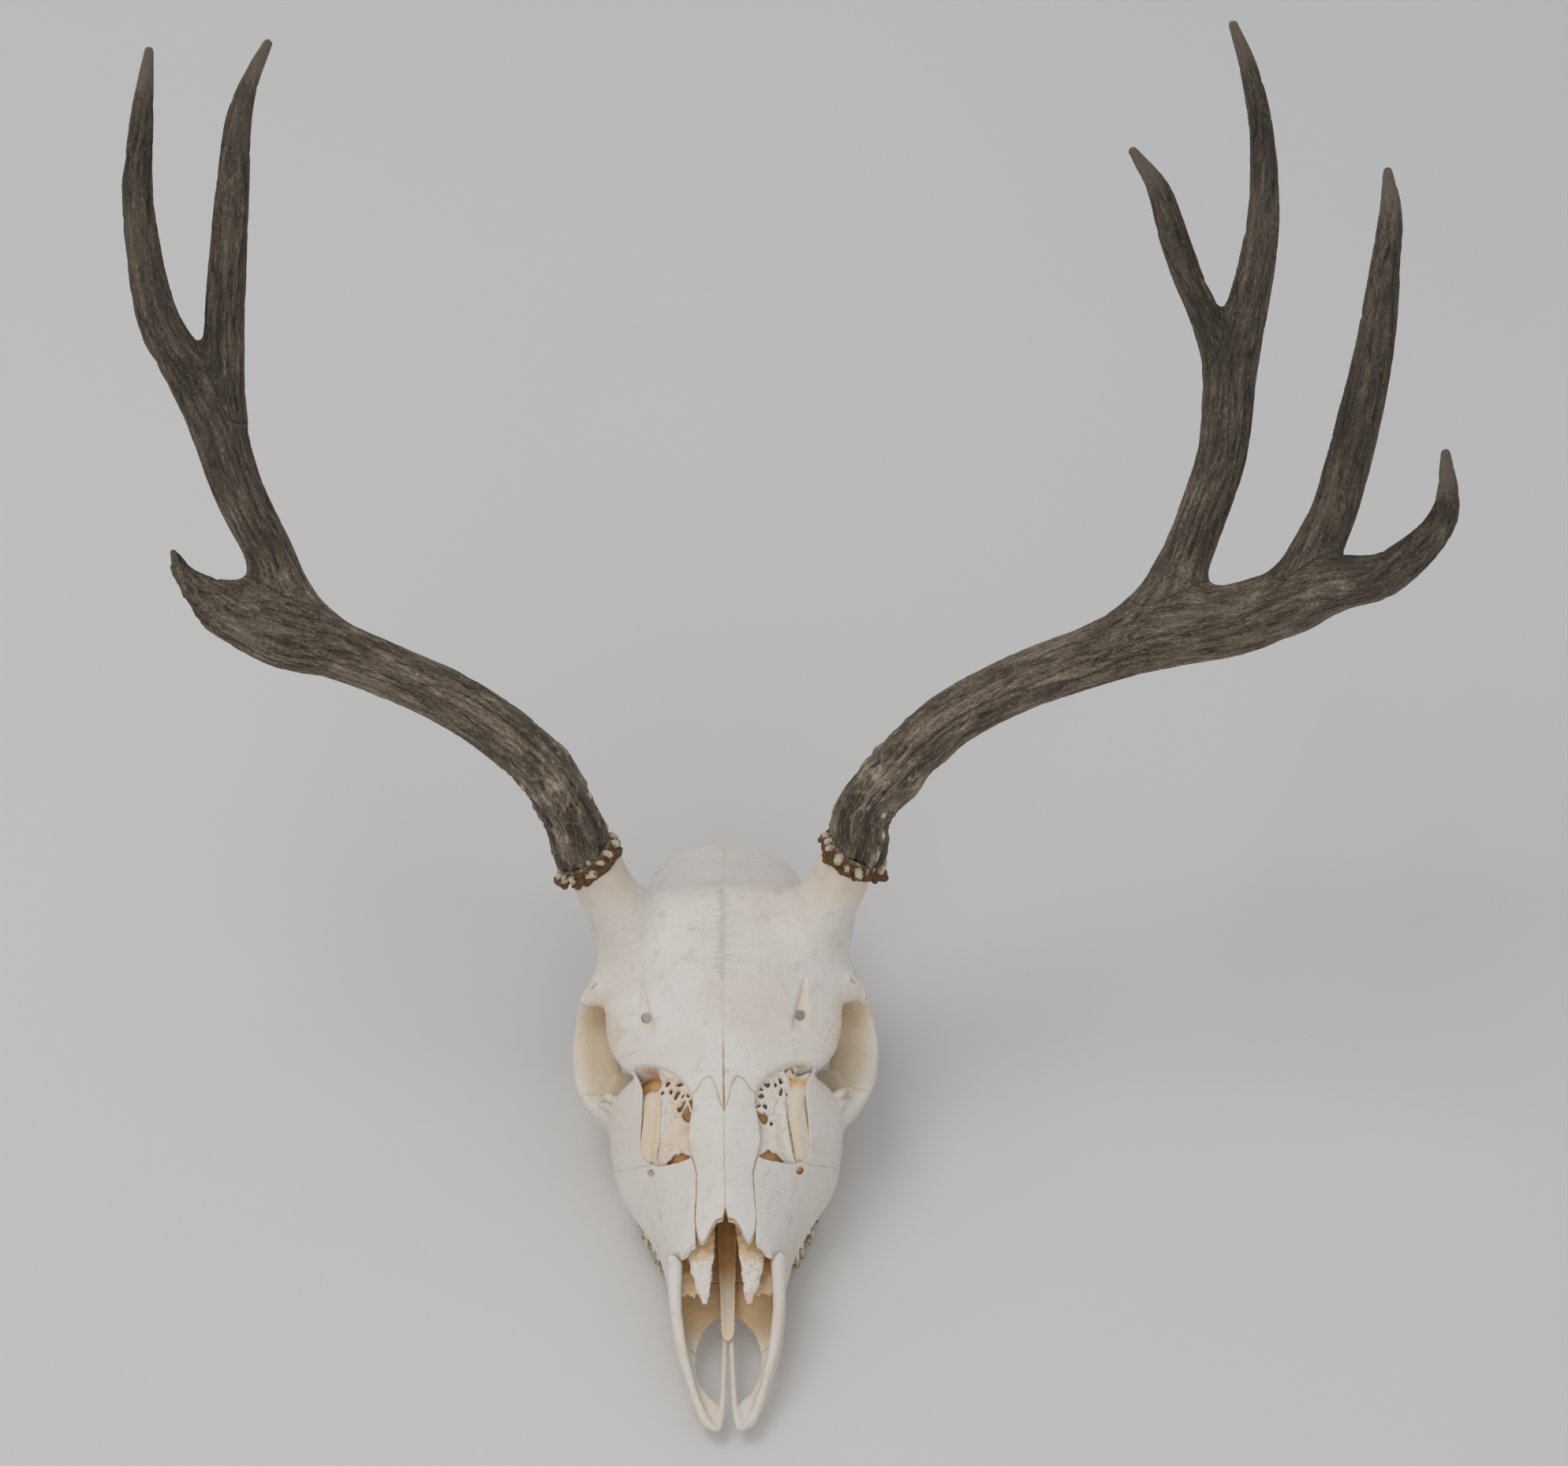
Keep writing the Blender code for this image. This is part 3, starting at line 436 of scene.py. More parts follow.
def blade(g, stations, depths, thickness, broad_at, inwards=0.0, steps=5):
    """A flattened bar in its own window. broad_at gives its broad way, and inwards moves it that way."""
    points = smooth_path(stations, steps)
    along = unit(np.gradient(points, axis=0))
    broad = broad_at(points)
    broad = unit(broad - along * (broad * along).sum(1, keepdims=True))
    share = np.linspace(0, 1, len(points))
    depth = np.interp(share, np.linspace(0, 1, len(depths)), depths)
    thick = np.interp(share, np.linspace(0, 1, len(np.atleast_1d(thickness))), np.atleast_1d(thickness))
    centre = points + broad * depth[:, None] * inwards
    margin = max(depths) / 2 + REACH
    cuts, part = window(g, centre.min(0) - margin, centre.max(0) + margin)
    field = empty(part)
    for i in range(len(points) - 1):
        a, b = centre[i], centre[i + 1]
        reach = depth[i : i + 2].max() / 2 + REACH
        inner, (x, y, z) = window(part, np.minimum(a, b) - reach, np.maximum(a, b) + reach)
        run = b - a
        t = np.clip(((x - a[0]) * run[0] + (y - a[1]) * run[1] + (z - a[2]) * run[2]) / (run @ run), 0, 1)
        off = [axis - a[k] - t * run[k] for k, axis in enumerate((x, y, z))]
        way = [broad[i][k] + t * (broad[i + 1][k] - broad[i][k]) for k in range(3)]
        wide = sum(o * w for o, w in zip(off, way))
        narrow = np.sqrt(np.maximum(sum(o * o for o in off) - wide * wide, 0))
        half = (depth[i] + t * (depth[i + 1] - depth[i])) / 2
        slim = (thick[i] + t * (thick[i + 1] - thick[i])) / 2
        near = np.sqrt((wide / half) ** 2 + (narrow / slim) ** 2)
        pull = np.sqrt((wide / half**2) ** 2 + (narrow / slim**2) ** 2)
        field[inner] = np.minimum(field[inner], near * (near - 1) / np.maximum(pull, 1e-4))
    return cuts, field


def outline(u, v, points):
    """Signed distance to an outline in a plane, below zero inside."""
    inside = np.zeros(np.broadcast(u, v).shape, bool)
    nearest = np.full(inside.shape, 1e6, np.float32)
    points = list(points)
    for (a, b), (c, d) in zip(points, points[1:] + points[:1]):
        run_u, run_v = c - a, d - b
        t = np.clip(((u - a) * run_u + (v - b) * run_v) / max(run_u**2 + run_v**2, 1e-9), 0, 1)
        nearest = np.minimum(nearest, (u - a - t * run_u) ** 2 + (v - b - t * run_v) ** 2)
        if run_v:
            inside ^= ((b > v) != (d > v)) & (u < run_u * (v - b) / run_v + a)
    return np.where(inside, -np.sqrt(nearest), np.sqrt(nearest))


def plane(g, point, normal):
    """Distance from a plane, on the side that its normal points to."""
    n = Vector(normal).normalized()
    return sum((axis - p) * m for axis, p, m in zip(g, point, n))


# ---- noise ----

LATTICE = 32  # cells after which the noise repeats
NOISE_GAIN = 1.6
GRADIENTS = unit(random.normal(size=(LATTICE, LATTICE, LATTICE, 3))).astype(np.float32)
SCATTER = random.random((LATTICE, LATTICE, LATTICE, 3)).astype(np.float32)


def noise(points, size=1.0):
    """Smooth noise of about -1 to 1 at each point. size is the width of its lumps, one number or three."""
    p = np.asarray(points, np.float32) / np.asarray(size, np.float32)
    cell = np.floor(p).astype(np.int64)
    f = p - cell
    fade = f * f * f * (f * (f * 6 - 15) + 10)
    total = np.zeros(len(p), np.float32)
    for corner in np.ndindex(2, 2, 2):
        at = (cell + corner) % LATTICE
        pull = (GRADIENTS[at[:, 0], at[:, 1], at[:, 2]] * (f - corner)).sum(1)
        share = np.where(corner, fade, 1 - fade).prod(1)
        total += pull * share
    return total * NOISE_GAIN


def layered(points, size, layers=3):
    """Noise with finer layers on top, each half the size and half the strength."""
    size = np.asarray(size, np.float32)
    shift = np.float32(11.3)
    return sum(noise(np.asarray(points) + shift * i, size / 2**i) / 2**i for i in range(layers))


def cells(points, size=1.0):
    """Distances from each point to its nearest and second nearest of scattered points, in cells."""
    p = np.asarray(points, np.float32) / np.asarray(size, np.float32)
    cell = np.floor(p).astype(np.int64)
    first = np.full(len(p), 9.0, np.float32)
    second = first.copy()
    for corner in np.ndindex(3, 3, 3):
        near = cell + corner - 1
        at = near % LATTICE
        d = np.linalg.norm(near + SCATTER[at[:, 0], at[:, 1], at[:, 2]] - p, axis=1)
        second = np.minimum(second, np.maximum(first, d))
        first = np.minimum(first, d)
    return first, second


def ease(value, low, high):
    """0 below low, 1 above high, and a smooth step between. It falls instead where low is over high."""
    t = np.clip((value - low) / (high - low), 0, 1)
    return t * t * (3 - 2 * t)


def bell(place, centre, widths):
    """1 at the centre, falling off smoothly over the widths round it."""
    return np.exp(-sum(((p - c) / w) ** 2 for p, c, w in zip(place, centre, widths)))


def near_line(distance, width):
    """1 where the distance is 0, falling straight to 0 at the width."""
    return np.clip(1 - np.abs(distance) / width, 0, 1)


# ---- meshes ----

EDGES = [(a, b) for a in range(8) for b in range(8) if b > a and bin(a ^ b).count("1") == 1]
CORNERS = np.array([(i & 1, i >> 1 & 1, i >> 2 & 1) for i in range(8)])


def shifted(array, corner):
    return array[tuple(slice(c, array.shape[k] - 1 + c) for k, c in enumerate(corner))]


def surface(field, g):
    """Points and quads of the zero level: one point in each cell that it crosses."""
    inside = field < 0
    some = np.zeros(tuple(n - 1 for n in field.shape), bool)
    every = ~some
    for corner in CORNERS:
        part = shifted(inside, corner)
        some |= part
        every &= part
    at = np.argwhere(some & ~every)
    number = np.full(some.shape, -1, np.int32)
    number[tuple(at.T)] = np.arange(len(at))
    values = np.stack([field[tuple((at + corner).T)] for corner in CORNERS], 1)
    total, count = np.zeros((len(at), 3), np.float32), np.zeros((len(at), 1), np.float32)
    for a, b in EDGES:
        crossed = (values[:, a] < 0) != (values[:, b] < 0)
        run = np.where(crossed, values[:, a] - values[:, b], 1)
        t = (values[:, a] / run)[:, None]
        total += np.where(crossed[:, None], CORNERS[a] + t * (CORNERS[b] - CORNERS[a]), 0)
        count += crossed[:, None]
    step = float(g[0][1, 0, 0] - g[0][0, 0, 0])
    low = np.array([axis.ravel()[0] for axis in g])
    points = low + (at + total / np.maximum(count, 1)) * step
    quads = []
    for axis in range(3):
        one, two = (axis + 1) % 3, (axis + 2) % 3
        near = np.moveaxis(inside, (axis, one, two), (0, 1, 2))[:, 1:-1, 1:-1]
        ids = np.moveaxis(number, (axis, one, two), (0, 1, 2))
        i, j, k = np.nonzero(near[:-1] != near[1:])
        outward = near[i, j, k]
        quad = np.stack([ids[i, j, k], ids[i, j + 1, k], ids[i, j + 1, k + 1], ids[i, j, k + 1]], 1)
        quads.append(np.where(outward[:, None], quad, quad[:, ::-1]))
    return points, np.concatenate(quads)


def largest_body(points, quads, share=0.02):
    """Leaves out loose crumbs: bodies, joined face to face, with under a share of the faces."""
    ends = np.sort(np.stack([quads, np.roll(quads, -1, 1)], 2).reshape(-1, 2), 1).astype(np.int64)
    key = ends[:, 0] * len(points) + ends[:, 1]
    _, edge, uses = np.unique(key, return_inverse=True, return_counts=True)
    edge = edge.reshape(quads.shape)
    joining = (uses == 2)[edge]
    label = np.arange(len(quads))
    while True:
        low = np.full(len(uses), len(quads))
        np.minimum.at(low, edge.ravel(), np.repeat(label, 4))
        fresh = np.minimum(label, np.where(joining, low[edge], len(quads)).min(1))
        fresh = fresh[fresh]
        if (fresh == label).all():
            break
        label = fresh
    quads = quads[np.bincount(label)[label] >= share * len(quads)]
    kept = np.zeros(len(points), bool)
    kept[quads.ravel()] = True
    return points[kept], (np.cumsum(kept) - 1)[quads]


def normals_of(points, quads):
    """A normal at each point, from the faces round it."""
    a, b, c, d = (points[quads[:, k]] for k in range(4))
    face = np.cross(c - a, d - b)
    total = np.stack(
        [np.bincount(quads.ravel(), np.repeat(face[:, k], 4), len(points)) for k in range(3)], 1
    )
    return unit(total)


def uneven(points, quads, size, layers, strength):
    """The points pushed in and out a little by a noise."""
    return points + normals_of(points, quads) * (layered(points, size, layers) * strength)[:, None]


def sample(field, g, points):
    """The field's value at the sample nearest each point."""
    step = float(g[0][1, 0, 0] - g[0][0, 0, 0])
    low = np.array([axis.ravel()[0] for axis in g])
    at = np.clip(np.rint((points - low) / step).astype(int), 0, np.array(field.shape) - 1)
    return field[tuple(at.T)]


def make(name, points, quads, look, values, nodes=()):
    """A piece of the model from points in the skull's frame, with a value at each point for its material."""
    mesh = bpy.data.meshes.new(name)
    row = (points - ORIGIN) * MM
    row = np.clip(row, CAD_BOX[0], CAD_BOX[1]).astype(np.float32)
    mesh.vertices.add(len(row))
    mesh.vertices.foreach_set("co", row.ravel())
    mesh.loops.add(quads.size)
    mesh.loops.foreach_set("vertex_index", quads.astype(np.int32).ravel())
    mesh.polygons.add(len(quads))
    mesh.polygons.foreach_set("loop_start", np.arange(0, quads.size, 4, dtype=np.int32))
    mesh.update(calc_edges=True)
    mesh.validate()
    mesh.shade_smooth()
    for key, value in values.items():
        kind, field = ("FLOAT_VECTOR", "vector") if value.ndim == 2 else ("FLOAT", "value")
        attribute = mesh.attributes.new(key, kind, "POINT")
        attribute.data.foreach_set(field, value.astype(np.float32).ravel())
    mesh.materials.append(look)
    made = bpy.data.objects.new(name, mesh)
    bpy.context.scene.collection.objects.link(made)
    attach(made, "root")
    if nodes:
        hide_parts(*nodes)
    return made


def to_side(points, quads, side):
    """The left side's points as they are, or mirrored to the right side."""
    return (points * (-1, 1, 1), quads[:, ::-1]) if side < 0 else (points, quads)


# ---- materials ----


class Nodes:
    """A material's node tree with short calls for the nodes used here."""

    def __init__(self, name, roughness):
        self.material = bpy.data.materials.new(name)
        self.material.use_nodes = True
        self.tree = self.material.node_tree
        self.shader = self.tree.nodes["Principled BSDF"]
        self.shader.inputs["Roughness"].default_value = roughness
        self.colour = None

    def add(self, kind, inputs=None, **settings):
        node = self.tree.nodes.new(kind)
        for key, value in settings.items():
            setattr(node, key, value)
        for key, value in (inputs or {}).items():
            self.plug(node.inputs[key], value)
        return node

    def plug(self, socket, value):
        if isinstance(value, bpy.types.NodeSocket):
            self.tree.links.new(value, socket)
        else:
            socket.default_value = value

    def place(self):
        return self.add("ShaderNodeTexCoord").outputs["Object"]

    def value(self, name):
        return self.add("ShaderNodeAttribute", attribute_name=name).outputs["Fac"]

    def vector(self, name):
        return self.add("ShaderNodeAttribute", attribute_name=name).outputs["Vector"]

    def noise(self, at, scale, detail=3.0, rough=0.55):
        inputs = {"Vector": at, "Scale": scale, "Detail": detail, "Roughness": rough}
        return self.add("ShaderNodeTexNoise", inputs).outputs["Fac"]

    def stretch(self, at, scale):
        return self.add("ShaderNodeVectorMath", {0: at, 1: scale}, operation="MULTIPLY").outputs["Vector"]

    def split(self, vector):
        return self.add("ShaderNodeSeparateXYZ", {0: vector}).outputs

    def math(self, operation, a, b=0.0, c=0.0):
        return self.add("ShaderNodeMath", {0: a, 1: b, 2: c}, operation=operation).outputs[0]

    def step(self, value, low, high, start=0.0, end=1.0):
        inputs = {"Value": value, "From Min": low, "From Max": high, "To Min": start, "To Max": end}
        return self.add("ShaderNodeMapRange", inputs, interpolation_type="SMOOTHSTEP").outputs["Result"]

    def patchy(self, name, mottle, amount, low, high, end=1.0):
        """A value of the mesh made uneven by a noise, as a smooth step from 0 to end."""
        shift = self.math("MULTIPLY_ADD", mottle, amount, -amount / 2)
        return self.step(self.math("ADD", self.value(name), shift), low, high, 0.0, end)

    def mix(self, share, a, b, how="MIX"):
        node = self.add("ShaderNodeMix", data_type="RGBA", blend_type=how)
        self.plug(node.inputs["Factor"], share)
        self.plug(node.inputs[6], a if isinstance(a, bpy.types.NodeSocket) else (*a, 1))
        self.plug(node.inputs[7], b if isinstance(b, bpy.types.NodeSocket) else (*b, 1))
        return node.outputs[2]

    def tint(self, share, colour, how="MIX"):
        """Lays a colour over the surface's colour so far."""
        self.colour = self.mix(share, self.colour, colour, how)

    def bump(self, height, distance, strength=1.0, after=None):
        inputs = {"Height": height, "Distance": distance, "Strength": strength}
        if after:
            inputs["Normal"] = after
        return self.add("ShaderNodeBump", inputs).outputs["Normal"]

    def finish(self, normal, roughness=None):
        self.plug(self.shader.inputs["Base Color"], self.colour)
        self.plug(self.shader.inputs["Normal"], normal)
        if roughness is not None:
            self.plug(self.shader.inputs["Roughness"], roughness)
        return self.material


def srgb(*levels):
    """Linear red, green and blue of a colour given in 0 to 255."""
    return tuple(((v / 255 + 0.055) / 1.055) ** 2.4 for v in levels)


BONE_WHITE, BONE_WARM, BONE_SPOT = srgb(231, 226, 218), srgb(225, 216, 206), srgb(205, 197, 188)
# The last colour here is the orange stain inside the nose, painted brighter as painted light coming through
# the thin bone.
CREAM, TAN, STAIN, ORANGE_PAINTED_GLOW = srgb(228, 209, 176), srgb(208, 180, 142), srgb(178, 126, 72), srgb(252, 212, 146)
GREY, TOOTHED_GREY, PIT = srgb(150, 138, 125), srgb(150, 138, 124), srgb(160, 140, 118)
ENAMEL, SCUM = srgb(222, 210, 184), srgb(126, 103, 70)
INNER_ORANGE, INNER_BROWN, INNER_TAN = srgb(222, 176, 118), srgb(196, 148, 94), srgb(224, 198, 160)
INNER_WHITE, INNER_CREAM, PORE = srgb(230, 223, 213), srgb(230, 211, 178), srgb(166, 128, 86)
GROOVE, HORN, RIDGE = srgb(52, 37, 24), srgb(116, 101, 82), srgb(178, 165, 144)
DARK_PATCH, PALE_PATCH, SPECK = srgb(62, 47, 33), srgb(150, 139, 122), srgb(46, 34, 24)
VEIN, TIP, PEARL = srgb(186, 172, 150), srgb(128, 116, 100), srgb(218, 204, 178)
RUST, RUST_DARK, TORN_DARK, TORN = srgb(128, 88, 44), srgb(68, 44, 22), srgb(58, 45, 32), srgb(104, 90, 72)
# Painted shade: the antlers' colour is darkened higher up, between these heights.
UPPER_PAINTED_SHADE, PAINTED_SHADE_HEIGHTS = (0.5, 0.49, 0.47), (0.20, 0.30)  # the antlers darken between these heights, m
FLOOR_DARK, FLOOR_LIGHT = srgb(219, 217, 214), srgb(223, 221, 218)


def toothed_line(n):
    """The closely toothed suture between the frontal bones: 1 on its line, 0 off it."""
    x, y, _ = n.split(n.vector("spot"))
    along = n.add("ShaderNodeCombineXYZ", {1: y}).outputs[0]
    phase = n.math("MULTIPLY_ADD", n.noise(along, 0.35, 1.0), 4.0, n.math("MULTIPLY", y, 0.7))
    wave = n.math("MULTIPLY_ADD", n.math("PINGPONG", phase, 0.5), 4.0, -1.0)
    reach = n.math("MULTIPLY", n.value("teeth"), n.step(n.noise(along, 0.8, 1.0), 0.3, 0.7, 0.35, 1.0))
    off = n.math("ABSOLUTE", n.math("MULTIPLY_ADD", wave, reach, n.math("MULTIPLY", x, -1.0)))
    steep = n.math("MULTIPLY_ADD", reach, 2.8, 1.0)
    line = n.step(n.math("DIVIDE", off, steep), 0.12, 0.34, 1.0, 0.0)
    return n.math("MULTIPLY", line, n.step(reach, 0.05, 0.8))


def bone_material():
    """Dry bleached bone, coloured by its values tan, cream, stain, grey, enamel and the painted light in the
    nose.
    """
    n = Nodes("bone", 0.55)
    at = n.place()
    broad = n.noise(at, 22.0, 4.0)
    mottle = n.noise(at, 150.0, 5.0, 0.65)
    grain = n.noise(at, 900.0, 4.0, 0.6)
    scum = n.step(n.noise(at, 190.0, 3.0, 0.6), 0.44, 0.66)
    pits = n.step(n.noise(at, 1500.0, 2.0, 0.5), 0.66, 0.78)
    line = toothed_line(n)
    n.colour = n.mix(n.step(broad, 0.35, 0.68), BONE_WHITE, BONE_WARM)
    n.tint(n.step(mottle, 0.52, 0.72, 0.0, 0.55), BONE_SPOT)
    n.tint(n.patchy("cream", mottle, 0.5, 0.1, 0.95), CREAM)
    n.tint(n.patchy("tan", mottle, 0.3, 0.05, 1.0), TAN)
    n.tint(n.patchy("stain", mottle, 0.6, 0.1, 0.8), STAIN)
    # painted light: the orange stain inside the nose, painted brighter to stand in for light through the thin
    # bone
    n.tint(n.value("orange_painted_glow"), ORANGE_PAINTED_GLOW)
    n.tint(n.math("MULTIPLY", n.value("grey"), n.step(mottle, 0.3, 0.6, 0.0, 0.6)), GREY)
    n.tint(n.math("MULTIPLY", line, 0.24), TOOTHED_GREY)
    n.tint(n.step(n.value("enamel"), 0.3, 0.7), n.mix(scum, ENAMEL, SCUM))
    n.tint(n.math("MULTIPLY", pits, 0.25), PIT)
    normal = n.bump(grain, 0.0004, 0.5)
    normal = n.bump(mottle, 0.0010, 0.35, normal)
    normal = n.bump(pits, -0.0003, 0.5, normal)
    normal = n.bump(line, -0.0003, 0.3, normal)
    return n.finish(normal, n.math("MULTIPLY_ADD", mottle, 0.25, 0.42))


def inner_bone_material():
    """Thin bone inside the nose: white and porous where it is worn, orange brown deeper in."""
    n = Nodes("inner_bone", 0.6)
    at = n.place()
    mottle = n.noise(at, 260.0, 5.0, 0.65)
    pores = n.math("MULTIPLY", n.step(n.noise(at, 700.0, 2.0, 0.5), 0.6, 0.68), n.value("pores"))
    n.colour = n.mix(n.step(mottle, 0.35, 0.65), INNER_ORANGE, INNER_BROWN)
    n.tint(n.patchy("white", mottle, 0.4, 0.0, 0.45), INNER_TAN)
    n.tint(n.patchy("white", mottle, 0.4, 0.4, 0.95), INNER_WHITE)
    n.tint(n.value("cream"), INNER_CREAM)
    n.tint(n.math("MULTIPLY", pores, 0.7), PORE)
    normal = n.bump(mottle, 0.0006, 0.5)
    normal = n.bump(pores, -0.0005, 0.6, normal)
    return n.finish(normal, n.math("MULTIPLY_ADD", mottle, 0.2, 0.5))


def antler_material(name):
    """Antler: fine light and dark streaks along it, dark in its grooves, with pale worn beads."""
    n = Nodes(name, 0.6)
    grain = n.vector("grain")
    streaks = n.noise(n.stretch(grain, (1.0, 1.0, 0.1)), 0.6, 4.0, 0.6)
    fine = n.noise(n.stretch(grain, (1.0, 1.0, 0.22)), 2.2, 3.0, 0.6)
    specks = n.noise(grain, 1.5, 3.0, 0.6)
    patches = n.noise(n.stretch(grain, (1.0, 1.0, 0.45)), 0.075, 3.0, 0.55)
    vein = n.noise(n.stretch(grain, (1.0, 1.0, 0.07)), 0.75, 1.0)
    vein = n.step(n.math("ABSOLUTE", n.math("SUBTRACT", vein, 0.5)), 0.004, 0.024, 1.0, 0.0)
    vein = n.math("MULTIPLY", vein, n.step(specks, 0.42, 0.5))
    raised = n.math("MULTIPLY_ADD", streaks, 4.0, n.math("SUBTRACT", n.value("height"), 2.0))
    raised = n.math("MULTIPLY_ADD", fine, 4.4, n.math("SUBTRACT", raised, 2.2))
    n.colour = n.mix(n.step(raised, -1.3, 0.1), GROOVE, HORN)
    n.tint(n.step(raised, 0.0, 1.2), RIDGE)
    n.tint(n.step(patches, 0.46, 0.66, 0.0, 0.62), DARK_PATCH)
    n.tint(n.step(patches, 0.46, 0.3, 0.0, 0.3), PALE_PATCH)
    n.tint(n.step(specks, 0.58, 0.72, 0.0, 0.5), SPECK)
    n.tint(n.math("MULTIPLY", vein, 0.5), VEIN)
    # painted shade: darker higher up the antlers
    n.tint(n.step(n.split(n.place())[2], *PAINTED_SHADE_HEIGHTS), UPPER_PAINTED_SHADE, "MULTIPLY")
    n.tint(n.patchy("tip", fine, 0.6, 0.2, 1.0, 0.6), TIP)
    n.tint(n.step(n.value("rust"), 0.2, 0.9, 0.0, 0.95), n.mix(n.step(specks, 0.42, 0.6), RUST, RUST_DARK))
    n.tint(n.step(n.value("pearl"), 0.3, 0.85, 0.0, 0.92), PEARL)
    n.tint(n.step(n.value("broken"), 0.3, 0.7), n.mix(fine, TORN_DARK, TORN))
    normal = n.bump(fine, 0.0007, 0.8)
    normal = n.bump(streaks, 0.0012, 0.7, normal)
    return n.finish(normal, n.math("MULTIPLY_ADD", raised, 0.04, 0.58))


def floor_material():
    n = Nodes("floor", 0.85)
    n.colour = n.mix(n.noise(n.place(), 2.5, 3.0), FLOOR_DARK, FLOOR_LIGHT)
    return n.finish(n.bump(n.noise(n.place(), 600.0, 3.0), 0.0003, 0.15))


# ---- skull ----

HALF_LOW, HALF_HIGH = (-8 * STEP, -1.2, -1.2), (70.8, 279, 133.2)  # x = 0 is on a sample
SIDES = ((1, "left"), (-1, "right"))
TOOTH_FLOOR = 0.05
LOBES = ((0.45, 0.8), (0.28, 0.72))  # where the two lobes of a premolar and of a molar stand along it
LOBE, SMALL_LOBE, FOLD = 0.27, 0.2, 0.85  # a lobe's radius as a share of its tooth, and the folds' places
TOOTH_CORE = 7.0  # the level that the middle of a tooth reaches
WALL_FOOT = 1.05  # how far in from the outer face the muzzle wall stands, in half thicknesses
SPLIT = SUTURE / 2  # how far a bone keeps from the middle of a suture
ORBIT = ((50, 158, 60), (13, 22, 19))  # where the bone round the eye is coloured: centre and widths
CORNER = ((60, 175, 74), (8, 5, 9))  # jagged edge behind the orbit
BROW = ((46, 152, 84), (3.5, 18, 6))  # and over it
PIT_MIDDLE, PIT_SLOPE = (98.2, 53), (0.77, 0.64)  # the hole in front of the opening, coloured brown inside, seen along it


def over_pedicle(side, height):
    """The point on a pedicle's axis at a height over its end."""
    x, y, z = Vector(PEDICLE[-1][:3]) + PEDICLE_AXIS * height
    return side * x, y, z


def teeth(g):
    """One side's cheek teeth: outer and inner cusps on each lobe, with folds between them."""
    y_at, outer_at, width_at = np.array(TOOTH_ROW, float).T
    field = empty(g)
    for k, (start, end) in enumerate(zip(TOOTH_STARTS, TOOTH_STARTS[1:])):
        molar = k >= FIRST_MOLAR
        for which, share in enumerate(LOBES[molar]):
            y = start + share * (end - start)
            outer = float(np.interp(y, y_at, outer_at))
            inner = outer - float(np.interp(y, y_at, width_at))
            size = (end - start) * (LOBE if molar or which == 0 else SMALL_LOBE)
            middle = (outer + inner) / 2
            sink = random.uniform(0, 0.5)
            for root, tip, reach, radius, blend in (
                (outer - size, outer - 1.4, CUSP_TIP + sink, 1.3, 0.6),
                (inner + size, inner + 2.0, INNER_CUSP_TIP + sink, 1.2, 0.6),
                (middle, middle, TOOTH_CORE, size * 0.85, 1.0),
            ):
                put(field, bar(g, ((root, y, TOOTH_TOP, size), (tip, y, reach, radius)), 1), blend)
            for at in (y - FOLD * size, y + FOLD * size):
                put(field, bar(g, ((outer - 0.8, at, TOOTH_TOP, 1.0), (outer - 0.4, at, 5.0, 0.9)), 1), 0.8)
    return field


def muzzle_edge(g):
    """Below zero in front of the maxilla's front edge."""
    x, y, z = g
    at_x, at_y, at_z = MUZZLE_EDGE
    under = EDGE_UNDER + (EDGE_OUTER - EDGE_UNDER) * ease(x, 19.5, 22.5)
    rise = np.maximum(z - at_z, -EDGE_LOW)
    edge = at_y + EDGE_OUT * np.clip(x - at_x, 0, EDGE_LAP) + np.where(rise > 0, EDGE_UP, under) * rise
    edge = edge + EDGE_IN * np.maximum(at_x - x, 0) * ease(z, 28, 40)
    wander = 0.2 * np.sin(x * 2.1) + 0.15 * np.sin(z * 1.7 + 1)
    return (y - edge + wander) * 0.7


def muzzle(g):
    """The wall and shelf at the side of the muzzle, and the rod beside the middle."""
    cuts, (x, y, z) = window(g, (-2, -2, -2), (36, 78, 56))
    outer, top, inner, shelf, end = (column(PREMAXILLA, k, y) for k in range(1, 6))
    low = shelf - SHELF / 2

    def strip(ax, az, bx, bz, radius):
        run_x, run_z = bx - ax, bz - az
        t = np.clip(((x - ax) * run_x + (z - az) * run_z) / (run_x**2 + run_z**2), 0, 1)
        return np.sqrt((x - ax - t * run_x) ** 2 + (z - az - t * run_z) ** 2) - radius

    thick = (outer - inner) / 2
    wall = strip((outer + inner) / 2, top - thick, outer - thick * WALL_FOOT, low + thick * 0.5, thick)
    tray = strip(outer - thick, low, end + SHELF / 2, low, SHELF / 2)
    front = PREMAXILLA[0][0]
    field = empty(g)
    both = union(wall, meet(tray, -outline(x, y, FISSURE)), 2.0)
    field[cuts] = between(both, y, front - 0.6, MUZZLE_BACK, 2.2)
    put(field, bar(g, PALATE_ROD), 1.2)
    return field


def cheek(g):
    """The wall round the orbit and the arch to the ear."""
    apex = np.array(ORBIT_APEX, float)
    field = empty(g)
    put(field, blade(g, ORBIT_RIM, (ORBIT_WALL_DEPTH,), ORBIT_WALL, lambda p: apex - p, inwards=0.5))
    put(field, blade(g, ARCH, ARCH_DEPTHS, ARCH_THICKNESS, lambda p: np.array([[0.2, 0, 1.0]])), 7.0)
    return field


def sulcus(x, y):
    """How deep the groove over the orbit is at a place on the forehead, 0 to 1."""
    edge = x - np.interp(y, *zip(*SULCUS))
    wide = 1.6 + 6.4 * ease(y, 170, 150)
    across = ease(edge, -0.4, 0.6) * ease((edge - 0.3 * wide) / wide, 0.7, 0)
    return across * ease(y, 172, 163) * ease(y, 144, 151)


def face_front(g):
    """The face and braincase, without what is joined to them."""
    return between(sections(g, CORE), g[1], CORE[0][0], CORE[-1][0], 5.0)


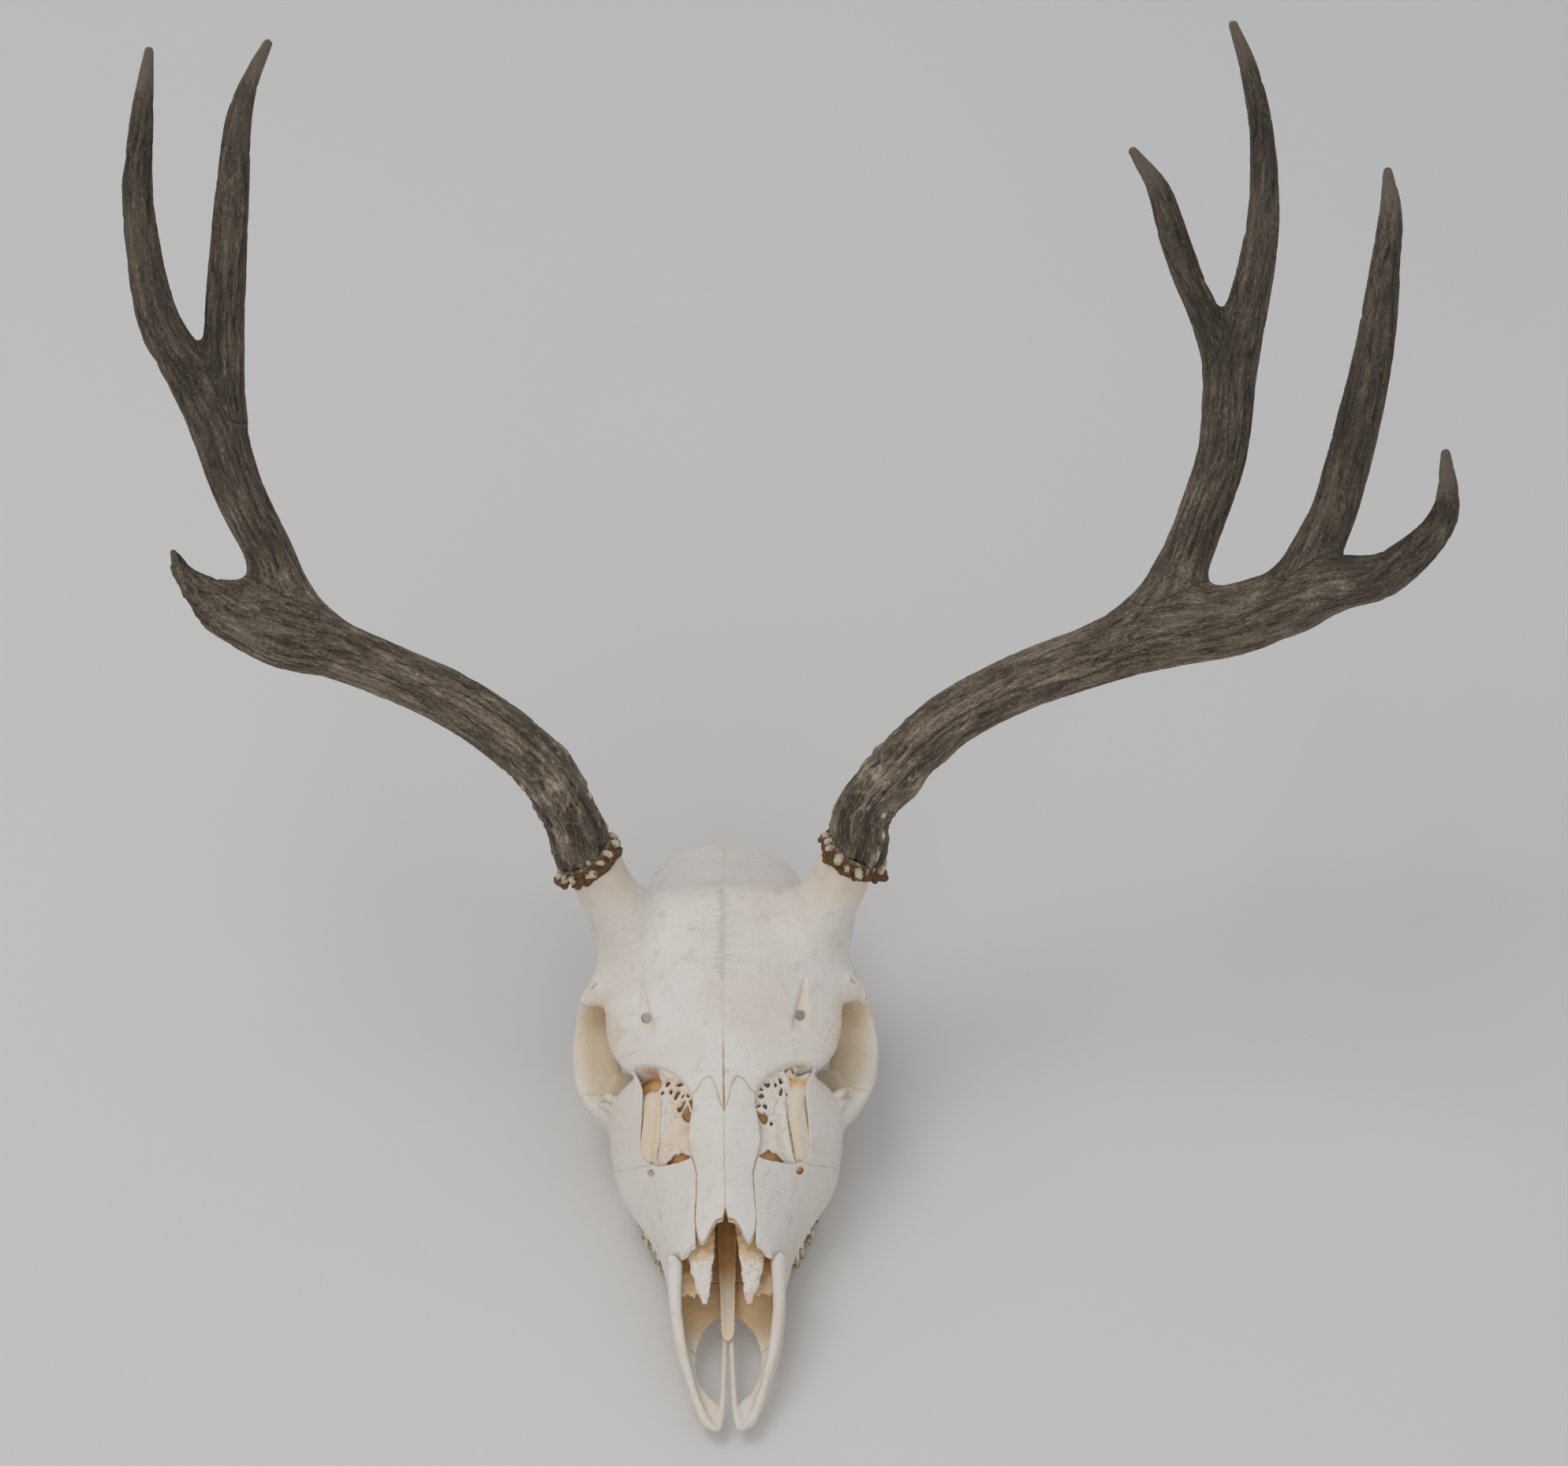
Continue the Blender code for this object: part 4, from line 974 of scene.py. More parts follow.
def skull_fields(g):
    """Distance fields on the left half: the solid head, what its openings leave of it, and the cheek."""
    x, y, z = g
    alveolar = between(sections(g, ALVEOLAR), y, ALVEOLAR[0][0], ALVEOLAR[-1][0], 2.0)
    solid = union(union(face_front(g), alveolar, 4.0), roof(g), 5.0)
    put(solid, bar(g, PEDICLE), 7.0)
    put(solid, bar(g, PTERYGOID), 3.0)
    head = carve(solid, between(sections(g, CORE) + NOSE_WALL, y, -10, NOSE_BACK, 2.0), 1.0)
    take(head, ellipsoid(g, *CHOANA), 1.5)
    take(head, ellipsoid(g, *FORAMEN_MAGNUM), 1.5)
    floor = VACUITY_LOW + 1.7 * np.maximum(y - 124, 0)
    head = carve(head, meet(outline(x, y, closed_curve(VACUITY)), (floor - z) * 0.6), 0.8)
    head = meet(head, -meet(outline(x, y, FISSURE), z - 25))
    for stations in LACRIMAL_SPURS:
        put(head, bar(g, stations, 1), 1.5)
    head = head + SULCUS_DEPTH * sulcus(x, y) * (z > 80)
    for stations in (ORBITAL_HOLE, INFRAORBITAL, CHEEK_HOLE, *LACRIMAL_HOLES):
        take(head, bar(g, stations, 1), 0.6)
    return solid, head, cheek(g)


def midline_field(field):
    """A left half mirrored into a whole."""
    half = field[round(-HALF_LOW[0] / STEP) :]
    return np.concatenate([half[:0:-1], half])


def ragged(u, v, strength, seed):
    """Small irregular numbers over a plane, which make a suture wander."""
    u, v = np.broadcast_arrays(u, v)
    rows = np.stack([u.ravel(), v.ravel(), np.full(u.size, seed * 7.7, np.float32)], 1)
    return (layered(rows, 5.0, 3) * strength).reshape(u.shape)


def folded(points):
    """x, y and z of points, with the right side's laid on the left."""
    return np.abs(points[:, 0]), points[:, 1], points[:, 2]


def bone_values(points, solid, g):
    """Where a bone is creamy, tan, stained or grey, from where each point lies on the skull."""
    x, y, z = folded(points)
    depth = -sample(solid, g, np.column_stack([x, y, z]))
    nose = ease(depth, 1.2, 3.4) * (y < 140) * (y > 58)
    wall_top = column(PREMAXILLA, 2, y)
    floor = ease(x, 20.4, 18.4) * ease(y, 33, 50) * (y < 70) * ease(wall_top - z, 1.5, 9)
    pedicle = ease(z, 98, 124) * ease(y, 185, 195)
    orbit = np.clip(1.7 * bell((x, y, z), *ORBIT), 0, 1)
    behind = ease(y, 214, 232) * ease(z, 40, 70)
    groove = sulcus(x, y) * (z > 84)
    # the hole in front of the opening is coloured brown inside it, more on the skull's left
    sunk = (y - PIT_MIDDLE[0]) * PIT_SLOPE[0] + (z - PIT_MIDDLE[1]) * PIT_SLOPE[1]
    pit = ease(np.hypot(x - INFRAORBITAL[1][0], sunk), 2.3, 1.5) * ease(depth, 0.3, 1.0)
    pit = pit * (z < 60) * (y > 92) * np.where(points[:, 0] > 0, 0.9, 0.3)
    front = ease(y, 64, 40) * (z < 50)
    cream = 0.45 * pedicle + 0.8 * orbit + 0.35 * nose + 0.5 * floor + 0.12 * layered(points, 14.0, 2)
    # the inside of the nose and of the muzzle's floor get the orange stain painted brighter, as painted light
    # through the thin bone
    orange_painted_glow = 0.85 * nose * ease(y, 62, 76) * ease(y, 120, 114) + 0.25 * floor * ease(y, 44, 54)
    return {
        "cream": np.clip(cream + 0.06 * behind + 0.34 * front + 0.45 * groove, 0, 1),
        "tan": np.clip(0.95 * orbit * ease(z, 52, 68) + 0.5 * nose + 0.85 * floor, 0, 1),
        "stain": np.maximum(0.42 * nose * ease(y, 112, 120) * (z > 50), pit),
        "orange_painted_glow": np.clip(orange_painted_glow, 0, 1),
        "grey": np.zeros(len(points)),
        "enamel": ease(-z, -15.5, -13.5) * (y > 77) * (y < 160) * (x > 15) * (x < 43),
        "teeth": 3.3 * ease(y, 163, 172) * ease(y, 211, 204) * (x < 7) * (z > 90),
        "spot": points,
    }


def suture_values(values, points):
    """Adds the sutures' own colours to a bone's values."""
    x, y, z = folded(points)

    def mark(name, share):
        values[name] = np.maximum(values[name], share)

    nasal = near_line(outline(x, y, NASAL), 0.8) * (z > 40) * (values["orange_painted_glow"] < 0.1)
    mark("stain", nasal * ease(y, 60, 70) * ease(y, 106, 99) * 0.6)
    mark("tan", nasal * ease(y, 98, 106) * 0.6)
    middle = near_line(x, 0.8) * (z > 40) * (y > 60)
    mark("stain", middle * ease(y, 108, 116) * ease(y, 156, 134) * 0.8)
    mark("tan", middle * ease(y, 116, 108) * 0.5)
    mark("grey", middle * ease(y, 128, 140) * 0.3)
    mark("grey", near_line(outline(y, z, LACRIMAL), 0.7) * (x > 37) * (z < 90) * 0.5)
    mark("grey", near_line(plane((x, y, z), *CORONAL_PLANE), 0.8) * (z > 60) * 0.3)
    palate = near_line((y - PALATE_LINE[1] - (x - PALATE_LINE[0]) * 1.24) * 0.63, 0.55)
    mark("stain", palate * ease(x, 12.4, 13) * ease(x, 17.2, 16) * (z < 22) * (y < 40) * 0.7)
    mark("grey", near_line(muzzle_edge((x, y, z)), 0.6) * (x > 19) * (z > 24) * 0.8)
    return values


def roughen(points, quads, strength=0.16):
    """Gives a bone the slight unevenness of real bone, and jagged edges round the orbit."""
    place = folded(points)
    push = layered(points, 9.0, 3) * strength + layered(points, 2.6, 2) * strength * 0.35
    jagged = np.maximum(bell(place, *CORNER), 0.7 * bell(place, *BROW))
    push = push + jagged * (noise(points, 2.4) * 0.75 + noise(points + 9, 1.3) * 0.35)
    return points + normals_of(points, quads) * push[:, None]


def show_bone(name, field, g, side, solid, look):
    """Makes a bone's mesh from its field on the left half, or on the whole skull if side is 0."""
    own_grid = g
    if side == 0:
        field = midline_field(field)
        axis = (np.arange(field.shape[0], dtype=np.float32) - field.shape[0] // 2) * STEP
        own_grid = (axis[:, None, None], *g[1:])
    points, quads = to_side(*largest_body(*surface(field, own_grid)), side)
    points = roughen(points, quads)
    values = suture_values(bone_values(points, solid, g), points)
    return make(f"bone_{name}", points, quads, look, values, [name])


def face_bones(g, head, side, show):
    """One side of the face and forehead, parted along its sutures."""
    x, y, z = g
    cut = muzzle_edge(g)
    sway = 0.45 * np.sin(y * 0.55) + 0.3 * np.sin(y * 1.37 + 1)
    middle = sway * ease(y, 118, 150) * side - x
    this = meet(head, middle + SPLIT - MIDLINE_LAP * ease(y, 118, 130))
    nasal = meet(outline(x, y, NASAL) + ragged(x, y, 0.3, 1 + side), NASAL_HEIGHTS[0] - z)
    wander = ragged(y, z, 0.8, 3 + side)
    maxilla = outline(y, z, MAXILLA) + wander
    lacrimal = meet(outline(y, z, LACRIMAL) + wander, outline(x, y, LACRIMAL_ABOVE))
    show("nasal", meet(this, nasal + SPLIT))
    this = meet(this, SPLIT - nasal, -meet(x - NASAL_EDGE - SPLIT, y - 80, NASAL_HEIGHTS[0] - z))
    toothless = meet(this, maxilla + SPLIT, SPLIT - cut)
    show("maxilla", meet(union(toothless, teeth(g), 0.7), TOOTH_FLOOR - z))
    this = meet(this, SPLIT - maxilla)
    show("lacrimal", meet(this, lacrimal + SPLIT))
    show("frontal", meet(this, SPLIT - lacrimal))
    show("premaxilla", meet(muzzle(g), SPLIT - x, cut + SPLIT))


def build_bones(look):
    g = grid(HALF_LOW, HALF_HIGH)
    _, y, z = g
    solid, head, cheek_field = skull_fields(g)
    cheek_share = cheek_field - solid
    head = union(head, cheek_field, 3.0)
    zygomatic = meet(head, cheek_share + SPLIT)
    head = meet(head, SPLIT - cheek_share)
    coronal = plane(g, *CORONAL_PLANE)
    show_bone("braincase", meet(head, SPLIT - coronal, y - OCCIPUT_PLANE + SPLIT), g, 0, solid, look)
    occipital = head.copy()
    put(occipital, ellipsoid(g, *CONDYLE), 2.5)
    put(occipital, bar(g, JUGULAR), 3.0)
    show_bone("occipital", meet(occipital, OCCIPUT_PLANE + SPLIT - y), g, 0, solid, look)
    bulla = empty(g)
    put(bulla, ellipsoid(g, *BULLA))
    bulla = meet(bulla, SUTURE - solid, y - OCCIPUT_PLANE + SPLIT)
    head = meet(head, coronal + SPLIT)
    sphenoid = outline(y, z, SPHENOID)
    show_bone("sphenoid", meet(head, sphenoid + SPLIT), g, 0, solid, look)
    head = meet(head, SPLIT - sphenoid)
    for side, label in SIDES:

        def show(name, field):
            show_bone(f"{name}_{label}", field, g, side, solid, look)

        show("zygomatic", zygomatic)
        show("bulla", bulla)
        face_bones(g, head, side, show)


# ---- inside the nose ----

LABYRINTH_BOX = ((9, 93, 40), (41, 145, 96))
CELL_SIZES, CELL_GAIN = (4.0, 4.8, 4.0), 2.1
HOLE_RIM = 0.6  # radius of the raised rim round a hole in the sheet
STRUT_SPAN = (1.8, 3.8)  # how deep under the face the struts between the cells start and end
DUCT_COVER = 9.0
SCROLL_PITCH, SCROLL_THICKNESS = 2.6, 1.0
PLATE_BOX = ((1.5, 40, 20), (24.5, 96, 62))
PLATE_BACK, WALL_BACK = 9.5, 20.2  # how far in and out the thin sheet under a plate reaches
KEEL_BOX = ((-8, 35, 12), (8, 117, 40))


def ellipse(x, y, hole):
    """Rough distance to a hole's rim, seen from above."""
    at_x, at_y, half_width, half_length, lean = hole
    turn = math.radians(lean)
    u = (x - at_x) * math.cos(turn) + (y - at_y) * math.sin(turn)
    v = (y - at_y) * math.cos(turn) - (x - at_x) * math.sin(turn)
    bend = 0.12 * np.sin(3 * np.arctan2(v, u) + at_y)
    return (np.sqrt((u / half_width) ** 2 + (v / half_length) ** 2) - 1 + bend) * min(half_width, half_length)


def beside_strip(x, y):
    """How far out from the raised strip a place lies."""
    return x - np.interp(y, *zip(*STRIP))


def sheet_depth(x, y, face, waves):
    """How deep under the sheet each place lies."""
    beside = beside_strip(x, y)
    strip = bell((beside,), (0,), (1.3,)) * ease(y, 128, 122)
    dip = 1.8 * bell((x, y), (15, 112), (4, 9)) + 0.8 * ease(y, 118, 134)
    dip = dip + BESIDE_DIP * ease(beside, 1.6, 4.4) * ease(y, 128, 121)
    return -face - SHEET_DEPTH - dip - 0.7 * waves + 1.5 * strip


def pierced_sheet(g, face, depth, side, border, torn):
    """The sheet with its holes and their rims, the cells it breaks up into, and what closes it below.

    border is the distance from the walls between the cells, and torn the unevenness of its front edge.
    """
    x, y, _ = g
    sheet = np.abs(depth) - SHEET / 2
    rim = FAR
    for hole in HOLES_LEFT if side > 0 else HOLES_RIGHT:
        around = ellipse(x, y, hole)
        sheet = carve(sheet, around, 0.3)
        rim = np.minimum(rim, np.sqrt(around**2 + (depth + 0.4) ** 2) - HOLE_RIM)
    edge = outline(x, y, closed_curve(VACUITY))
    net = np.minimum(np.minimum(edge + NET_WIDTH, y - NET_FRONT), NET_OUT[side] - x)
    sheet = meet(sheet, np.minimum(border - 0.36, net))
    struts = meet(border - 0.3, -net, -face - STRUT_SPAN[1], face + STRUT_SPAN[0])
    made = union(union(sheet, rim, 0.9), struts, 0.7)
    gap = outline(x, y, GAP_BY_MAXILLA) + 0.9 * torn * ease(y, 99.5, 100.8)
    return np.minimum(meet(made, -gap), np.abs(depth - FLOOR_UNDER) - 0.6)


def labyrinth_field(g, side):
    """The sheet and the duct beside it, with the fields of the face and of the depth under the sheet."""
    x, y, z = g
    flat = np.broadcast_arrays(x[:, :, 0], y[:, :, 0])
    rows = np.column_stack([flat[0].ravel(), flat[1].ravel(), np.full(flat[0].size, 7.3 * side + 20)])

    def over_plane(values):
        return values.reshape(flat[0].shape)[:, :, None].astype(np.float32)

    face = union(face_front(g), roof(g), 5.0)
    depth = sheet_depth(x, y, face, over_plane(layered(rows, 7.0, 2)))
    first, second = cells(rows, CELL_SIZES)
    border = over_plane((second - first) * CELL_GAIN)
    made = pierced_sheet(g, face, depth, side, border, over_plane(noise(rows, 1.4)))
    put(made, bar(g, DUCT), 1.2)
    duct_x = np.interp(y, [row[1] for row in DUCT[::-1]], [row[0] for row in DUCT[::-1]])
    fill = meet(face + FILL_DEPTH, -face - DUCT_COVER, duct_x - x, FILL_END - y, y - 124)
    made = union(made, fill, 2.0)
    if side > 0:
        put(made, bar(g, DUCT_FLARE), 1.5)
    made = carve(made, meet(ellipse(x, y, SLITS[side]), depth + 0.05), 0.3)
    opening = outline(x, y, closed_curve(VACUITY)) + np.zeros_like(z)
    return meet(made, opening - 1.3, face + 0.7), face, depth


def labyrinth(look, side, label):
    """The thin pierced sheet, small bone cells and duct in the opening beside the nasal bone."""
    g = grid(*LABYRINTH_BOX, FINE_STEP)
    field, face, depth = labyrinth_field(g, side)
    points, quads = largest_body(*surface(field, g), share=0.004)
    x, y, _ = points.T
    beside = beside_strip(x, y)
    back_end = (132, 128) if side > 0 else (128, 118)
    duct = ease(beside, 1.6, 2.6) * ease(-sample(face, g, points), 9.5, 8.0) * ease(y, *back_end)
    # painted shade: the bone round each slit is painted orange brown instead of white, as the shade in the
    # slit
    slit_shade = ease(ellipse(x, y, SLITS[side]), 0.5, 0.0)
    bright = bell((beside,), (0,), (1.6,)) * ease(y, 128, 122)
    under = ease(sample(depth, g, points), 0.9, 1.6) * (1 - duct)
    white = 0.80 + 0.08 * side + 0.2 * bright - 1.1 * under + 0.08 * layered(points, 3.2, 2) - 0.6 * slit_shade
    flare = duct * ease(y, 124, 129)
    values = {
        "white": np.clip(white - 0.8 * flare, 0, 1), "cream": 0.55 * duct * (1 - flare),
        "pores": 0.3 * (1 - duct),
    }
    points, quads = to_side(points, quads, side)
    return make(f"nose_labyrinth_{label}", points, quads, look, values)


def scrolls(look, side, label):
    """The rolled thin plates of the ethmoid, cut open towards the opening above them."""
    centre, half_sizes = (np.array(row, float) for row in ETHMOID)
    g = grid(centre - half_sizes - 2, centre + half_sizes + 2, STEP)
    x, y, z = (axis - middle for axis, middle in zip(g, centre))
    _, whole = ellipsoid(g, centre, half_sizes)
    roll = np.hypot(x * 1.2, (z + 2) * 0.75) + 0.1 * y
    layers = (roll / SCROLL_PITCH + np.arctan2(z + 2, x) / (2 * math.pi)) % 1.0
    plates = np.abs(layers - 0.5) * SCROLL_PITCH - SCROLL_THICKNESS / 2
    stem = np.abs(x - 5 + 0.1 * z) - 0.6
    field = meet(np.minimum(plates, stem), whole)
    points, quads = largest_body(*surface(field, g), share=0.01)
    points = uneven(points, quads, 3.0, 2, 0.18)
    white = np.clip(0.35 + 0.2 * layered(points, 5.0, 2), 0, 1)
    values = {"white": white, "cream": white * 0, "pores": white}
    points, quads = to_side(points, quads, side)
    return make(f"nose_scrolls_{label}", points, quads, look, values, [f"ethmoid_{label}"])


def plate_field(g, side):
    """The worn plate, with the ragged thin sheet under it."""
    x, y, z = g
    field = empty(g)
    across = np.array([[1.0, 0.12, -0.12]])
    put(field, blade(g, TURBINATE, TURBINATE_WIDTHS, TURBINATE_THICKNESS, lambda p: across))
    rows = np.stack([axis.ravel() for axis in np.broadcast_arrays(x, y, z)], 1)
    grain = layered(rows + 40 * side, 3.4, 2).reshape(field.shape)
    fine = noise(rows + 9 * side, 1.6).reshape(field.shape)
    field = field + grain * 0.55 + fine * 0.35 * ease(y, 62, 48)
    wall = np.abs(z - 28.5 - 0.30 * (y - 50) - 0.05 * (x - 15) ** 2 + grain * 0.6) - 0.5
    edge = 53.0 + 0.7 * np.sin(x * 1.3 + side) + 0.45 * np.sin(x * 3.1) + 0.5 * fine
    wall = meet(wall, edge - y, PLATE_BACK - x, x - WALL_BACK, y - 90)
    return meet(union(field, wall, 0.8), sections(g, CORE) + NOSE_WALL - 0.8)


def nose_plates(look, side, label):
    """The worn, pitted plate that hangs in the nose opening, with a ragged thin sheet under it."""
    g = grid(*PLATE_BOX, FINE_STEP)
    points, quads = largest_body(*surface(plate_field(g, side), g), share=0.01)
    hollow = 0.3 - cells(points, (2.1, 2.6, 2.1))[0]
    _, y, z = points.T
    plate = ease(z - 0.5 * (y - 50), 29.5, 32)
    worn = ease(y, 68, 60) * plate
    points = points - normals_of(points, quads) * (np.clip(hollow, 0, 1) * 1.2 * worn)[:, None]
    _, y, _ = points.T
    behind = ease(y + 2.5 * layered(points, 4.0, 2), 57, 65)
    white = 0.42 + 0.3 * plate + 0.35 * worn - 0.5 * behind - 0.35 * ease(hollow, 0, 0.14) * plate
    white = white - 0.4 * (side > 0) * ease(y, 50.5, 49)
    values = {"white": np.clip(white, 0, 1), "cream": white * 0, "pores": 0.5 * plate}
    points, quads = to_side(points, quads, side)
    return make(f"nose_plate_{label}", points, quads, look, values, [f"turbinate_{label}"])


def trough(look):
    """The vomer: a keel with a shallow trough along its top and a rounded front end."""
    g = grid(*KEEL_BOX, FINE_STEP)
    x, y, z = g
    half, low, high = (column(VOMER, k, y) for k in (1, 2, 3))
    rise = np.clip((z - low) / (high - low), 0, 1)
    body = meet(np.abs(x) - half * (0.28 + 0.72 * rise**1.3), low - z, z - high)
    body = -union(-body, -(VOMER[0][0] + 0.12 * x * x - y), 1.6)
    groove = np.sqrt(x * x + ((z - high - 1.2) * 1.2) ** 2) - np.maximum(half - 0.9, 1.2)
    body = meet(carve(body, groove, 0.5), y - VOMER[-1][0])
    points, quads = largest_body(*surface(body, g))
    points = uneven(points, quads, 4.0, 2, 0.12)
    # the keel is white and cream at the front and orange brown further back under the nasal bones: the
    # inside's orange, with painted shade there
    front = ease(points[:, 1], 70, 56)
    white = np.clip(0.85 * front + 0.1 * layered(points, 5.0), 0, 1)
    values = {"white": white, "cream": 0.7 * front, "pores": white * 0.2}
    return make("nose_keel", points, quads, look, values, ["vomer"])


def build_nose(look):
    trough(look)
    for side, label in SIDES:
        nose_plates(look, side, label)
        scrolls(look, side, label)
        labyrinth(look, side, label)


# ---- antlers ----

ANTLER_SINK = 0.12  # how far the smooth shape is drawn in, so that the relief stays near its size
ROOT = ((2, 13.4), (BURR_TOP, 13.2))  # heights over the pedicle and radii where the beam starts
TWIST_START = (0.3, -0.4, 0.86)  # lies along no branch, so the first way across is taken from it
TIP_LENGTHS = (34, 3)  # mm before a tip over which the relief dies out
KNOBBLY_LENGTHS = (34, 92)  # mm along the beam over which the burr's knobs and ridges die out
BRANCH_BLEND = 1.5  # how wide two branches' reliefs run into each other, mm
STREAK_SHIFT = 300  # mm between the streaks of one branch and of the next
BREAK_REACH, BREAK_ROUGH = 3, 0.9
BURR_MIDDLE, BURR_HALF, BURR_RADII = 4.4, 4.2, (13.2, 12.7)
BURR_CUT = 4.8  # how far under its middle the burr ends
BURR_REACH = 27
# How far out, how high and how thick a lump's or a knob's root is, and the ranges for its end
LUMP_ROOT, LUMP_ENDS = (11.5, -1, 1.2), ((12.8, 14.4), (-4.2, 0.6), (1.0, 2.0))
KNOB_ROOT, KNOB_ENDS = (12.5, -0.8, 2.0), ((14.6, 17.4), (-3.4, 0.4), (1.4, 2.3))


def branch_frame(stations, steps=6):
    """A branch's path with its length so far and two ways across it, which keep one twist."""
    path = smooth_path(stations, steps)
    along = unit(np.gradient(path[:, :3], axis=0))
    side = np.zeros_like(along)
    side[0] = unit(np.cross(TWIST_START, along[0]))
    for k in range(1, len(path)):
        side[k] = unit(side[k - 1] - along[k] * (side[k - 1] @ along[k]))
    length = np.concatenate([[0], np.cumsum(np.linalg.norm(np.diff(path[:, :3], axis=0), axis=1))])
    return path, side, np.cross(along, side), length


def branch_place(points, branch):
    """Each point's place on a branch: across it two ways, along it, and its distance from the surface."""
    path, side, up, length = branch
    a, b = path[:-1, :3], path[1:, :3]
    run = b - a
    best = np.full(len(points), 1e9)
    pick = np.zeros(len(points), int)
    share = np.zeros(len(points))
    for k in range(len(a)):
        t = np.clip(((points - a[k]) @ run[k]) / (run[k] @ run[k]), 0, 1)
        d = np.linalg.norm(points - a[k] - t[:, None] * run[k], axis=1)
        near = d < best
        best, pick, share = np.where(near, d, best), np.where(near, k, pick), np.where(near, t, share)

    def read(rows):
        t = share if rows.ndim == 1 else share[:, None]
        return rows[pick] * (1 - t) + rows[pick + 1] * t

    off = points - read(path[:, :3])
    across = np.stack([(off * read(side)).sum(1), (off * read(up)).sum(1)], 1)
    radius = read(path[:, 3])
    return across, read(length), best - radius, radius, length[-1]


def burr_end_relief(place, s):
    """The knobbly relief near the burr, how strong it is there, and how pearly."""
    base = 1 - ease(s, *KNOBBLY_LENGTHS)
    first, second = cells(place + 11.0, (6.2, 6.2, 10.5))
    ridge = near_line(second - first, 0.24)
    thin = near_line(noise(place + 71.0, (3.4, 3.4, 13.0)), 0.16)
    first, _ = cells(place + 23.0, (6.5, 6.5, 9.5))
    knobs = near_line(first, 0.34) * ease(noise(place + 5.0, 13.0), -0.1, 0.25)
    lumps = np.clip(noise(place + 90.0, (8.0, 8.0, 11.0)), -0.3, 1)
    return ridge * 0.8 + thin * 0.4 + knobs * 1.2 + lumps * 1.4 - 0.65, base, base * knobs * 1.1


def antler_relief(across, s, radius, total, burred, broken):
    """Height of the antler's surface over its smooth shape, how pearly it is, and how near a tip."""
    place = np.column_stack([unit(across) * radius[:, None], s])
    place[:, :2] += np.column_stack([noise(place + 3, 24.0), noise(place + 41, 24.0)]) * 1.4
    grooves = -near_line(noise(place, (4.4, 4.4, 42.0)), 0.2) ** 1.5 * 0.8
    grooves = grooves - near_line(noise(place + 31.0, (2.3, 2.3, 24.0)), 0.2) * 0.4
    swell = noise(place + 57.0, (6.5, 6.5, 60.0)) * 0.35 + layered(place, (2.5, 2.5, 7.0), 2) * 0.14
    near_tip = np.zeros(len(s)) if broken else ease(total - s, *TIP_LENGTHS)
    relief = (grooves + swell) * (1 - 0.7 * near_tip)
    pearl = np.zeros(len(s))
    if burred:
        raised, base, pearl = burr_end_relief(place, s)
        relief = relief * (1 - 0.45 * base) + base * raised
    return relief, pearl, near_tip


def antler_field(g, side, trunk, others):
    """The trunk with its branches, from the burr up, and cut off where the right one is broken."""
    field = empty(g)
    put(field, bar(g, trunk), 1.0)
    for stations, blend in zip(others, FORK_BLENDS):
        put(field, bar(g, stations), blend)
    axis = PEDICLE_AXIS * Vector((side, 1, 1))
    field = meet(field, 0.1 - plane(g, over_pedicle(side, BURR_TOP), axis))
    if side > 0:
        return field
    slope = plane(g, *BREAK)
    at = np.argwhere(np.abs(slope) < BREAK_REACH)
    rows = np.stack([g[k].ravel()[at[:, k]] for k in range(3)], 1)
    slope = slope + np.zeros_like(field)
    slope[tuple(at.T)] += layered(rows, 4.0, 3) * BREAK_ROUGH
    return meet(field, slope)


def antler_surface(points, branches, broken):
    """Relief, pearliness, nearness to a tip and grain at each point, and its distance from a branch."""
    relief, pearl, tip, weight = 0, 0, 0, 0
    grain, nearest = np.zeros((len(points), 3)), np.full(len(points), 1e9)
    for k, stations in enumerate(branches):
        across, s, away, radius, total = branch_place(points, branch_frame(stations))
        push, pearls, ends = antler_relief(across, s, radius, total, k == 0, k == 0 and broken)
        near = np.exp(-np.clip(away, -2, 40) / BRANCH_BLEND)
        relief, pearl, tip = relief + push * near, pearl + pearls * near, tip + ends * near
        weight = weight + near
        closer = away < nearest
        nearest = np.where(closer, away, nearest)
        grain[closer] = np.column_stack([across, s + STREAK_SHIFT * k])[closer]
    return relief / weight, pearl / weight, tip / weight, grain, nearest


def antler(look, side, label, trunk, others, nodes):
    """One antler as one piece, with its grooves, ridges and pale knobs."""
    branches = [trunk, *others]
    every = np.vstack([np.array(b, float) for b in branches])
    margin = every[:, 3].max() + 4
    g = grid(every[:, :3].min(0) - margin, every[:, :3].max(0) + margin, ANTLER_STEP)
    points, quads = largest_body(*surface(antler_field(g, side, trunk, others), g))
    broken = side < 0
    relief, pearl, tip, grain, nearest = antler_surface(points, branches, broken)
    torn = np.zeros(len(points))
    if broken:
        torn = ease(-np.abs(plane(points.T, *BREAK)), -1.3, -0.4)
    smooth_fork = 1 - 0.35 * ease(nearest, 0.6, 3.0)
    push = (relief * smooth_fork - ANTLER_SINK) * (1 - torn)
    points = points + normals_of(points, quads) * push[:, None]
    values = {
        "height": relief, "pearl": pearl, "tip": tip, "broken": torn, "grain": grain, "rust": pearl * 0,
    }
    return make(f"antler_{label}", points, quads, look, values, nodes)


